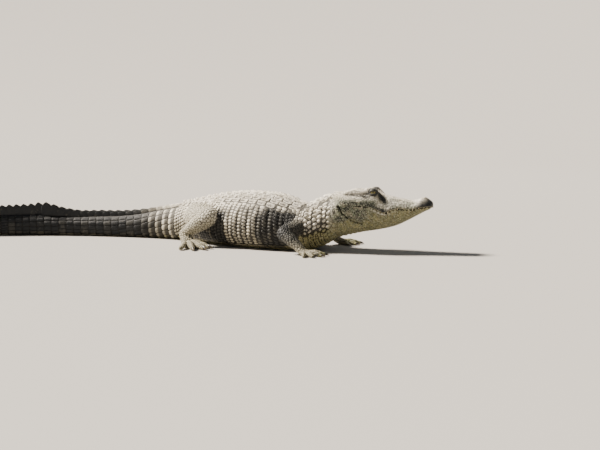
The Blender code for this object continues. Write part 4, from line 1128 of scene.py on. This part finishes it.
# Nape.
# Four great shields in a square behind the skull with smaller ones beside them, and a low row
# on the skull's hind edge. The neck's sides carry raised keeled tubercles.
NAPE_SHIELDS = [(0.471, 0.021, 0.036, 0.036, 0.012), (0.508, 0.023, 0.037, 0.040, 0.012),
                (0.541, 0.018, 0.028, 0.030, 0.008), (0.476, 0.056, 0.026, 0.024, 0.008),
                (0.512, 0.062, 0.028, 0.027, 0.009), (0.545, 0.052, 0.022, 0.022, 0.006),
                (0.437, 0.013, 0.016, 0.018, 0.005), (0.440, 0.036, 0.016, 0.017, 0.005),
                (0.445, 0.060, 0.016, 0.016, 0.004)]
nape_s, nape_way, nape_long, nape_wide, nape_keel = np.array(
    [(s, side * way, *sizes) for s, way, *sizes in NAPE_SHIELDS for side in (1, -1)]).T
# The nape shields carry painted keel shadows too.
nape_batch = lay_scales(skin_at, nape_s, nape_way, nape_long, nape_wide, 0.0042, KEELED, keel=nape_keel,
                        keel_width=0.26, chart=BACK_CHART, rugged=0.00025, rng=rng, keel_shadow=0.9)
coat_piece("back_shields", [back_batch, nape_batch], back_horn, 21)


def bricks(x0, x1, y, pitch_x, pitch_y, jitter):
    """Places in a brick pattern from x0 to x1 and from -y to y, each moved a little at random."""
    x, y = np.meshgrid(np.arange(x0, x1, pitch_x), np.arange(-y, y, pitch_y), indexing="ij")
    y = y + pitch_y * 0.5 * (np.arange(x.shape[0]) % 2)[:, None]
    return np.array([(x + rng.normal(0, jitter, x.shape) * pitch_x).ravel(),
                     (y + rng.normal(0, jitter, y.shape) * pitch_y).ravel()])


def clear_of(places, others_x, others_y, reach_x, reach_y):
    """Which places lie outside all the ovals of the given half sizes round the others."""
    free = np.ones(places.shape[1], bool)
    for start in range(0, len(free), 2000):
        x, y = places[:, start:start + 2000, None]
        near = ((x - others_x) / reach_x) ** 2 + ((y - others_y) / reach_y) ** 2
        free[start:start + 2000] = near.min(1) > 1.0
    return free


neck = bricks(0.448, 0.604, 0.240, 0.0190, 0.0198, 0.10)
neck_s, neck_way = neck[:, (np.abs(neck[1]) > 0.078 + 0.02 * (neck[0] < 0.46))
                        & clear_of(neck, nape_s, nape_way, nape_long * 0.65, nape_wide * 0.65)]
neck_size = 0.0178 - 0.0060 * smooth(np.abs(neck_way), 0.13, 0.23) + rng.normal(0, 0.0009, len(neck_s))
neck_batch = lay_scales(skin_at, neck_s, neck_way, neck_size * 1.05, neck_size, 0.0040, KNOB, keel=0.0034,
                        keel_width=0.4, chart=NECK_CHART, rugged=0.00015, rng=rng)
throat = bricks(0.436, 0.620, 0.36, 0.0100, 0.0092, 0.05)
throat = throat[:, (np.abs(throat[1]) > 0.215) & (np.abs(throat[1]) < half_round(throat[0]) + 0.004)]
throat_batch = lay_scales(skin_at, *throat, 0.0102, 0.0088, 0.0012, SMALL, chart=THROAT_CHART)
# Fine grains fill the gaps among the neck scales; their low top paints them dark as shade, like the gaps.
grain = bricks(0.430, 0.604, 0.225, 0.0058, 0.0060, 0.08)
among_neck = clear_of(grain, np.append(nape_s, neck_s), np.append(nape_way, neck_way),
                      np.append(nape_long * 0.52, neck_size * 0.56),
                      np.append(nape_wide * 0.52, neck_size * 0.54))
grain = grain[:, among_neck & clear_of(grain, back_s, back_way, 0.026, 0.018)]
grain_batch = lay_scales(skin_at, *grain, 0.0054, 0.0050, 0.0009, GRAIN, chart=NECK_CHART, top=0.24)
coat_piece("neck_scales", [neck_batch, throat_batch, grain_batch], flank_horn, 22)


# Flanks.
# Upright columns of rounded beads with low keels, two columns to a row of shields and the top two
# beads larger, with fine grains between them. Under them lie rows of smooth belly plates.
BEAD_PITCH, BELLY_PITCH, BELLY_SHARE = 0.0150, 0.0235, 0.29
rows = []
for row, number in enumerate(EACH_SIDE):
    pitch = (trunk_fronts[row + 1] - trunk_fronts[row]) / 2.0
    for half in range(2):
        s = trunk_fronts[row] + pitch * (half + 0.5)
        edge, last = number * SHIELD_WIDTH, 0.70 * half_round(s)
        count = max(int((last - edge) / BEAD_PITCH), 2)
        for side in (1, -1):
            for k in range(count):
                large = 1.28 if k == 0 else 1.12 if k == 1 else 1.0
                way = edge + 0.009 + (last - edge - 0.006) * k / count + 0.004 * half
                rows.append((s + rng.normal(0, 0.0010), side * way,
                             large * (0.0142 + rng.normal(0, 0.0007)), 0.0030 * large))
flank_s, flank_way, flank_size, flank_high = np.array(rows).T
flank_batch = lay_scales(skin_at, flank_s, flank_way, flank_size * 1.15, flank_size * 0.92, flank_high, OVAL,
                         keel=0.0016, keel_width=0.5)
coat_piece("flank_beads", [flank_batch], flank_horn, 23)
# Fine grains fill the gaps among the beads; their low top paints them dark as shade, like the gaps.
grain = bricks(0.585, 1.318, 0.315, 0.0062, 0.0060, 0.08)
row_here = np.clip(np.searchsorted(trunk_fronts, grain[0]) - 1, 0, TRUNK_ROWS - 1)
grain = grain[:, (np.abs(grain[1]) > EACH_SIDE[row_here] * SHIELD_WIDTH + 0.001)
              & (np.abs(grain[1]) < 0.72 * half_round(grain[0]))
              & clear_of(grain, flank_s, flank_way, flank_size * 0.60, flank_size * 0.50)]
grain_batch = lay_scales(skin_at, *grain, 0.0054, 0.0050, 0.0008, GRAIN, top=0.22)
coat_piece("flank_grains", [grain_batch], flank_horn, 24)

rows = []
for s in np.arange(0.622, 1.300, BELLY_PITCH):
    half = half_round(s)
    count = max(int(round(BELLY_SHARE * half / BELLY_PITCH)), 2)
    width = BELLY_SHARE * half / count
    rows += [(s + rng.normal(0, 0.0004), side * (half - (k + 0.5) * width), width * 0.97)
             for side in (1, -1) for k in range(count)]
belly_s, belly_way, belly_wide = np.array(rows).T
belly_batch = lay_scales(skin_at, belly_s, belly_way, 0.0240, belly_wide, 0.0012, PLATE, lean=0.1)
coat_piece("belly_plates", [belly_batch], belly_horn, 25)


# Tail.
# Forty whorls of smooth oblong scales; each carries a pair of upright keeled scales that draw
# together and, after the eighteenth whorl, a single fin.
rows, fins = [], []
for whorl in range(TAIL_WHORLS):
    front, pitch = tail_fronts[whorl], tail_fronts[whorl + 1] - tail_fronts[whorl]
    s = (front + tail_fronts[whorl + 1]) / 2.0
    half = half_round(min(s, TOTAL_LENGTH - STEP))
    paired = whorl < MERGE_WHORL
    crest, top_gap = (along(CREST_OFFSET, s), 0.010) if paired else (0.0, 0.003)
    if crest > 0.018:
        inner = max(int(round(2.0 * (crest - 0.010) / 0.020)), 1)
        width = 2.0 * (crest - 0.009) / inner
        rows += [(s, (k + 0.5 - inner / 2.0) * width, pitch * 0.99, width * 0.95, 0.0022)
                 for k in range(inner)]
    first = crest + top_gap
    count = max(int(round((half - first) / (0.0265 if s < 1.6 else 0.022 if s < 2.2 else 0.014))), 2)
    width = (half - first) / count
    rows += [(s + rng.normal(0, 0.0005), side * (first + (half - first) * (k + 0.5) / count), pitch * 0.99,
              width * 0.965, 0.0021 if s < 2.3 else 0.0012) for side in (1, -1) for k in range(count)]
    s = front + 0.50 * pitch
    overlap = 1.45 if s < 1.85 else 1.80 if s < 2.5 else 1.5
    for side in (1, -1) if paired else (0,):
        fins.append((s, side * along(CREST_OFFSET, s), pitch * overlap,
                     along(KEEL_RISE, front + 0.7 * pitch) + along(SCALE_DEPTH, s),
                     0.011 if side and s < 1.6 else 0.0085 if side else 0.0095 if s < 2.3 else 0.006))
side_s, side_way, side_long, side_wide, side_high = np.array(rows).T
# Painted shadow: at the tail root the front of each side scale is dark, as if shaded by the whorl before it.
side_front_shadow = 0.9 * smooth(side_s, 1.62, 1.48) * smooth(np.abs(side_way), 0.050, 0.075)
side_batch = lay_scales(skin_at, side_s, side_way, side_long, side_wide, side_high, PLATE, keel=0.0006,
                        keel_width=0.6, lean=0.30, chart=TAIL_CHART, front_shadow=side_front_shadow)
coat_piece("tail_scales", [side_batch], back_horn, 26)

FIN_LEVELS, FIN_COUNT = np.array([1.0, 0.94, 0.82, 0.64, 0.44, 0.24, 0.08, 0.0, -0.06])[:, None], 14


def crest_fins(s, way, long, high, thick):
    """Upright keeled scales: lens-shaped levels that shorten, thin out and lean back as they climb."""
    angle = 2.0 * np.pi * np.arange(FIN_COUNT) / FIN_COUNT
    up = np.clip(FIN_LEVELS, 0.0, 1.0)
    a = np.cos(angle) * (1.0 - up ** 3.4) + 0.42 * up ** 1.5 + 0.03 * np.cos(angle)
    b = np.sign(np.sin(angle)) * np.abs(np.sin(angle)) ** 1.2 * ((1.0 - up) ** 0.8 * 0.86 + 0.07)
    a, b = np.append(a, [0.52, 0.0]), np.append(b, [0.0, 0.0])
    h = np.append(FIN_LEVELS * np.ones(FIN_COUNT), [1.0, -0.06])
    far_s = s + a * long / 2.0
    turn = np.interp(far_s, SPINE_S, SPINE_HEADING)
    across = np.stack([-np.sin(turn), -np.cos(turn), 0.0 * turn], -1)
    tilt = np.sign(way) * np.clip(np.abs(way) / 0.05, 0.0, 1.0) * 0.30
    points = skin_at(far_s, way + 0.0 * far_s)
    points = points + across * (b * thick / 2.0)[..., None] + across * (tilt * h * high)[..., None] * 0.5
    points[..., 2] += h * high
    u, v = 0.02 + 0.96 * (s - 1.28) / 1.47, 0.5 + 0.5 * way
    return {"points": points, "uv": np.stack([u + PATCH / 2.0 * a, v + PATCH / 2.0 * b], -1), "top": 1.0,
            "rings": (len(FIN_LEVELS), FIN_COUNT), "roots": skin_at(s[:, 0], way[:, 0]),
            "edge": np.clip(0.95 - h * 2.5, 0.0, 0.95), "size": 0.5 * long[:, 0]}


coat_piece("tail_crest", [crest_fins(*np.array(fins).T[..., None])], back_horn, 27)


# Face.
# Skin dried tight on bone cracks into many-sided fields instead of folding into scales: wide ones on
# snout and jaws, narrow ones round the eyes and on the cheeks. Each field is a low solid plate.
skin.data.calc_loop_triangles()
triangles = read_numbers(skin.data.loop_triangles, "vertices", np.int32, 3)
vertex_normals = read_numbers(skin.data.vertex_normals, "vector", np.float32, 3).astype(float)
corner_a, corner_b, corner_c = skin_points[triangles].transpose(1, 0, 2)
triangle_areas = np.linalg.norm(np.cross(corner_b - corner_a, corner_c - corner_a), axis=1) / 2.0


def strew(wanted, per_square_metre, rng):
    """Random places on the wanted triangles of the skin, their normals and their nearest corners."""
    chosen = np.flatnonzero(wanted)
    area = triangle_areas[chosen].sum()
    number = int(area * per_square_metre)
    picked = triangles[chosen[rng.choice(len(chosen), number, p=triangle_areas[chosen] / area)]]
    share_a, share_b = np.sqrt(rng.uniform(size=number)), rng.uniform(size=number)
    shares = np.stack([1.0 - share_a, share_a * (1.0 - share_b), share_a * share_b], 1)
    spots, normals = ((values[picked] * shares[..., None]).sum(1)
                      for values in (skin_points, vertex_normals))
    return spots, unit(normals), picked[np.arange(number), shares.argmax(1)]


def tree_of(points):
    """A search tree over points."""
    tree = KDTree(len(points))
    for number, point in enumerate(points):
        tree.insert(point, number)
    tree.balance()
    return tree


def thinned(points, spacing):
    """Numbers of the points kept when each one kept, in turn, clears its own spacing round it."""
    tree = tree_of(points)
    free, kept = np.ones(len(points), bool), []
    for number in range(len(points)):
        if free[number]:
            kept.append(number)
            for _, other, _ in tree.find_range(points[number], spacing[number]):
                free[other] = False
    return np.array(kept)


def fitted_scales(roots, normals, lie, size, gap, high, others, count, reaches, uv, seam, rugged, rng):
    """Plates that fill their places, each edge half way to the next root.

    In direction t from its root an edge is at the least of d / (2 cos(t - f)), over the roots at
    distance d in direction f, less half a gap; the top is a flattened dome that leans to the rear.
    The seam is 1 where rims are as dark as the gaps between them, and less where they stay paler."""
    around = np.concatenate([roots, others])
    tree = tree_of(around)
    near = np.array([[found[1] for found in tree.find_n(root, 15)] for root in roots])
    ahead = unit(lie - normals * (lie * normals).sum(1, keepdims=True), 1e-9)
    across = np.cross(normals, ahead)
    offset = around[near] - roots[:, None]
    far = np.linalg.norm(offset, axis=2)[:, None]
    bearing = np.arctan2((offset * across[:, None]).sum(2), (offset * ahead[:, None]).sum(2))[:, None]
    angle = 2.0 * np.pi * np.arange(count) / count
    turned = np.cos(angle[None, :, None] - bearing)
    reach = np.where((turned > 0.05) & (far > 1e-6), far / (2.0 * np.maximum(turned, 0.05)), 9.0).min(2)
    reach = np.minimum(reach, 0.80 * size[:, None])
    reach = np.minimum(reach, 0.53 * (np.roll(reach, 1, 1) + np.roll(reach, -1, 1)))
    reach = np.maximum(reach - gap[:, None] / 2.0, 0.20 * size[:, None])
    level = np.append(np.repeat(reaches, count), [0.0, 1.0])
    a, b = (np.append(np.outer(reaches, way(angle)), [0.0, 0.0]) for way in (np.cos, np.sin))
    out_by = np.concatenate([np.tile(reach, (1, len(reaches))), np.zeros((len(roots), 2))], 1)
    way_out = ahead[:, None] * a[:, None] + across[:, None] * b[:, None]
    points = roots[:, None] + way_out * out_by[..., None]
    normal = np.repeat(normals[:, None], points.shape[1], 1)
    for number, row in enumerate(points):
        for k, point in enumerate(row[:-1]):
            spot, facing, _, away = skin_tree.find_nearest(point)
            if away < 0.35 * size[number]:
                points[number, k] = spot
                normal[number, k] += facing
    points[:, -1] = roots
    dome = np.clip(1.0 - level ** 3.5, 0.0, 1.0) ** 0.5
    height = high[:, None] * dome * (1.0 + 0.22 * a) + rugged * rng.normal(0.0, 1.0, points.shape[:2]) * dome
    points = points + unit(normal) * np.where(level >= 1.0, -SINK, height)[..., None]
    points[..., 2] = np.maximum(points[..., 2], FLOOR_CLEAR)
    return {"points": points, "uv": uv[:, None] + PATCH / 2.0 * np.stack([a, b], -1), "edge": level * seam,
            "rings": (len(reaches), count), "roots": roots, "top": 1.0, "size": size / 2.0}


FACE_SPOTS_PER_M2, LEG_SPOTS_PER_M2 = 420000.0, 300000.0
face_rng = np.random.default_rng(31)
spots, normals, corner = strew((station[triangles] < 0.452).all(1), FACE_SPOTS_PER_M2, face_rng)
s, right, z = station[corner], out_right[corner], spots[:, 2]
lip, side = along(LIP_LEVEL, s), np.abs(right)
eye_far, eye_outwards = eye_distance(spots)
above = z > lip
size = np.full(len(s), 0.0096)
# Field sizes: snout, snout tip, table, cheek, hind jaw, fore jaw, round the eye, lips
for wide, where in ((0.0100, above & (s < 0.235)), (0.0074, s < 0.034),
                    (0.0108, above & (s > 0.27) & (side < 0.054)),
                    (0.0080, above & (s > 0.235) & (side > 0.058)),
                    (0.0084, ~above & (s > 0.27) & (z > 0.150)),
                    (0.0106, ~above & (s < 0.27) & (side > 0.03)),
                    (0.0064, eye_far < 0.040), (0.0078, np.abs(z - lip) < 0.012)):
    size[where] = wide
size *= np.exp(face_rng.normal(0.0, 0.16, len(size)))
# Fields keep clear of the mouth, the nostrils, the ears, the jaw fold, the lip line and the eyes
clearance = np.array([0.0040, 0.0085, 0.0040, 0.0048])[:, None]
free = (creases(spots, s, right) > clearance).all(0) & (np.abs(z - lip + 0.0020) > 0.0052 * (s < 0.405))
free = np.flatnonzero(free & ((eye_far > 0.0245) | (eye_outwards < 0.0)) & (s > 0.0015) & (s < 0.446))
free = free[thinned(spots[free], size[free])]
heading = np.interp(s[free], SPINE_S, SPINE_HEADING)
located_s, _, located_way, _ = locate(spots[free])
cheek = smooth(s[free], 0.22, 0.28)
lie = np.stack([-np.cos(heading), np.sin(heading), 0.0 * heading], 1)
uv = np.stack([0.02 + 0.96 * located_s / 0.46, 0.5 + located_way / 0.62], 1)
face_batch = fitted_scales(spots[free], normals[free], lie, size[free], 0.0005 + 0.0006 * cheek,
                           0.0007 + 0.0006 * cheek, np.zeros((0, 3)), 12, [0.60, 0.88, 1.0], uv, 0.90,
                           0.00008, face_rng)
coat_piece("face_fields", [face_batch], face_hide, 32)


# Leg scales.
# Small pebbled scales over thigh and upper arm, finer towards the feet, a fringe of larger keeled
# scales down the hind edge of forearm and shank, and a row of broad scutes along each digit.
def limb_places(points, segments):
    """For each point the nearest segment's number, its distance along it, round it, and the lie there."""
    nearest, number = np.full(len(points), 9.0), np.zeros(len(points), int)
    x, turn, lie = np.zeros(len(points)), np.zeros(len(points)), np.zeros((len(points), 3))
    for k, segment in enumerate(segments):
        for first, last, start in zip(segment.joints[:-1], segment.joints[1:], segment.knots[:-1]):
            way = last - first
            t = np.clip((points - first) @ way / (way @ way), 0.0, 1.0)
            offset = points - first - t[:, None] * way
            off = np.linalg.norm(offset, axis=1) - segment.sizes.mean()
            length = np.linalg.norm(way)
            side = np.cross(way, UP)
            side /= np.linalg.norm(side)
            up = np.cross(side, way / length)
            closer = off < nearest
            nearest, number = np.where(closer, off, nearest), np.where(closer, k, number)
            x = np.where(closer, start + t * length, x)
            turn = np.where(closer, np.arctan2(offset @ side, offset @ up), turn)
            lie = np.where(closer[:, None], way / length, lie)
    return number, x, turn, lie, nearest


def covered_by(points, roots, sizes, share_of_root, room):
    """Which points lie within a share of the size of the nearest root, plus some room of their own."""
    tree = tree_of(roots)
    found = np.array([tree.find(point)[1:] for point in points])
    return found[:, 1] < share_of_root * sizes[found[:, 0].astype(int)] + room


# For each kind of leg: scale size on upper limb, lower limb, foot and digits; pitch and length of scutes
LEG_SCALES = {"fore": ((0.0098, 0.0086, 0.0066, 0.0056), 0.0072, 0.0080),
              "hind": ((0.0112, 0.0096, 0.0080, 0.0064), 0.0088, 0.0096)}
body_roots, body_sizes = (np.concatenate(column) for column in zip(*laid))
limb_rng = np.random.default_rng(33)
for (word, kind), (upper, lower, hand, toes, _, _) in LEGS.items():
    segments, (pitches, scute_pitch, scute_length) = [upper, lower, hand] + toes, LEG_SCALES[kind]
    x = np.arange(0.02, lower.length, 0.0135)
    rear = lower.girth * (0.25 if (word == "right") == (kind == "hind") else 0.75)
    batches = [lay_scales(lower.at, x, rear, 0.0150, 0.0120, 0.0028, OVAL, keel=0.0032, keel_width=0.4,
                          reach=0.010, chart=(-0.02, lower.length + 0.03, 0.0, lower.girth),
                          cell=(0.0, 0.24, 1.0, 0.48))]
    for digit, toe in enumerate(toes):
        x, wide = np.arange(0.018, toe.length + 0.001, scute_pitch), 1.30 * toe.sizes[:, 0].mean()
        batches.append(lay_scales(toe.at, x, 0.0, scute_length, wide, 0.0014, OVAL, lean=0.5, reach=0.006,
                                  chart=(0.0, toe.length + 0.01, -0.02, 0.02),
                                  cell=(0.0, 0.74 + 0.05 * digit, 1.0, 0.78 + 0.05 * digit)))
    own_roots, own_sizes = (np.concatenate([batch[part] for batch in batches]) for part in ("roots", "size"))
    joints = np.concatenate([segment.joints for segment in segments])
    low, high = joints.min(0) - 0.13, joints.max(0) + 0.13
    near_leg = ((skin_points > low) & (skin_points < high)).all(1) & (station > 0.46)
    near_leg &= limb_places(skin_points, segments)[4] < 0.030
    spots, normals, _ = strew(near_leg[triangles].all(1), LEG_SPOTS_PER_M2, limb_rng)
    number, x, turn, lie, _ = limb_places(spots, segments)
    size = np.array(pitches)[np.minimum(number, 3)]
    free = np.flatnonzero(~(covered_by(spots, body_roots, body_sizes, 0.85, 0.38 * size)
                            | covered_by(spots, own_roots, own_sizes, 0.80, 0.30 * size)))
    free = free[thinned(spots[free], size[free])]
    others = np.concatenate([body_roots[((body_roots > low) & (body_roots < high)).all(1)], own_roots])
    uv = np.stack([0.02 + 0.96 * np.clip(x[free] / 0.30, 0.0, 1.0),
                   (np.minimum(number[free], 3) + 0.5 + 0.46 * turn[free] / np.pi) / 4.0], 1)
    batches.append(fitted_scales(spots[free], normals[free], lie[free], size[free], 0.10 * size[free],
                                 0.0009 + 0.11 * size[free], others, 10, [0.58, 0.88, 1.0], uv, 0.97,
                                 0.00006, limb_rng))
    coat_piece(f"{word}_{kind}_leg_scales", batches, flank_horn, 34)


# Claws.
# Three on each foot: solid dark horn, curved down, with fine grooves along it. Walking polishes it to
# a dull shine and wears it pale at the tip.
STREAK_MM, CLAW_POINTS = 2.4, 14
claw_horn, tree, shader = new_material("dark_grooved_claw_horn")
place_in = add_node(tree, "ShaderNodeTexCoord").outputs["Object"]
streak = add_node(tree, "ShaderNodeTexNoise", None, {
    "Vector": place_in, "Detail": 4.0, "Scale": 1000.0 / STREAK_MM}).outputs["Fac"]
worn = add_node(tree, "ShaderNodeAttribute", {"attribute_name": "worn"}).outputs["Fac"]
colour = linear("#1d1a16")
for amount, over in ((streak, "#3b342b"), (worn, "#6f6350")):
    colour = add_node(tree, "ShaderNodeMix", {"data_type": "RGBA"},
                      {0: amount, 6: colour, 7: linear(over)}).outputs[2]
tree.links.new(colour, shader.inputs["Base Color"])
shader.inputs["Roughness"].default_value = 0.36
groove = add_node(tree, "ShaderNodeBump", None, {"Height": streak, "Strength": 0.4, "Distance": 0.0004})
tree.links.new(groove.outputs["Normal"], shader.inputs["Normal"])

t = np.linspace(0.0, 1.0, CLAW_POINTS)[:, None]
angle = np.linspace(0.0, 2.0 * np.pi, CLAW_POINTS, endpoint=False)[None, :]
groove = 1.0 + 0.03 * np.cos(6.0 * angle)
worn = np.append(np.repeat(smooth(t[:, 0], 0.6, 1.0), CLAW_POINTS), [0.0, 1.0])
for (word, kind), leg in LEGS.items():
    for number, (root, way, radius, length) in enumerate(leg[4], 1):
        reach = -0.005 + (length + 0.005) * t
        rise = radius * 0.76 - 0.0010 + length * (0.10 * np.sin(np.pi * np.clip(t, 0, 1)) - 0.20 * t ** 2.2)
        size = radius * (0.60 * (1.0 - t ** 1.5) ** 0.75 + 0.035)
        rings = (root + way * reach[..., None] + UP * rise[..., None]
                 + np.cross(way, UP) * (np.cos(angle) * size * 0.84 * groove)[..., None]
                 + UP * (np.sin(angle) * size * 1.10 * groove)[..., None])
        rings[..., 2] = np.maximum(rings[..., 2], FLOOR_CLEAR)
        foot = "hand" if kind == "fore" else "foot"
        claw = mesh_object(f"{word}_{foot}_horn_{number}", *tube(rings), claw_horn)
        claw.data.attributes.new("worn", "FLOAT", "POINT").data.foreach_set("value", worn.astype(np.float32))
        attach(claw, "root")
        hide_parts(f"{word}_{foot}_claw_{number}")


# Teeth.
# With the mouth shut the upper teeth show outside the lower jaw as short cream pegs of uneven size.
# Old enamel is glossy but stained. Below: station in metres, length below the lip in millimetres.
TEETH = [(0.020, 6), (0.033, 8), (0.045, 6), (0.055, 9), (0.069, 7), (0.083, 11), (0.100, 8),
         (0.116, 6), (0.132, 6), (0.148, 9), (0.162, 7), (0.176, 8), (0.190, 11), (0.206, 9),
         (0.221, 6), (0.236, 6), (0.251, 5), (0.267, 5)]
TOOTH_SIDE_SHARE, TOOTH_INSET, STAIN_MM = 0.24, 0.0042, 3.8
enamel, tree, shader = new_material("aged_tooth_enamel")
place_in = add_node(tree, "ShaderNodeTexCoord").outputs["Object"]
stain = add_node(tree, "ShaderNodeTexNoise", None, {
    "Vector": place_in, "Detail": 3.0, "Scale": 1000.0 / STAIN_MM}).outputs["Fac"]
colour = add_node(tree, "ShaderNodeMix", {"data_type": "RGBA"},
                  {0: stain, 6: linear("#d8ccab"), 7: linear("#a8946a")}).outputs[2]
tree.links.new(colour, shader.inputs["Base Color"])
shader.inputs["Roughness"].default_value = 0.28

level = np.linspace(0.0, 1.0, 8)[:, None]
angle = np.linspace(0.0, 2.0 * np.pi, 9, endpoint=False)[None, :]
pegs = []
for s, length in ((s, millimetres / 1000.0) for s, millimetres in TEETH):
    lip, width = along(LIP_LEVEL, s), along(LIP_WIDTH, s)
    size = TOOTH_SIDE_SHARE * length * (1.0 - level ** 1.6) ** 0.8 + 0.0002
    z = lip + 0.003 - (length + 0.003) * level
    out = width - TOOTH_INSET + 0.0010 * level + size * np.cos(angle)
    pegs += [tube(place(s + 0.0012 * level ** 2 + size * np.sin(angle), side * out, z + 0.0 * angle))
             for side in (1, -1)]
peg_faces = [np.concatenate([faces[k] + number * len(points) for number, (points, faces) in enumerate(pegs)])
             for k in (0, 1)]
teeth = mesh_object("upper_teeth", np.concatenate([points for points, _ in pegs]), peg_faces, enamel)
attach(teeth, "root")
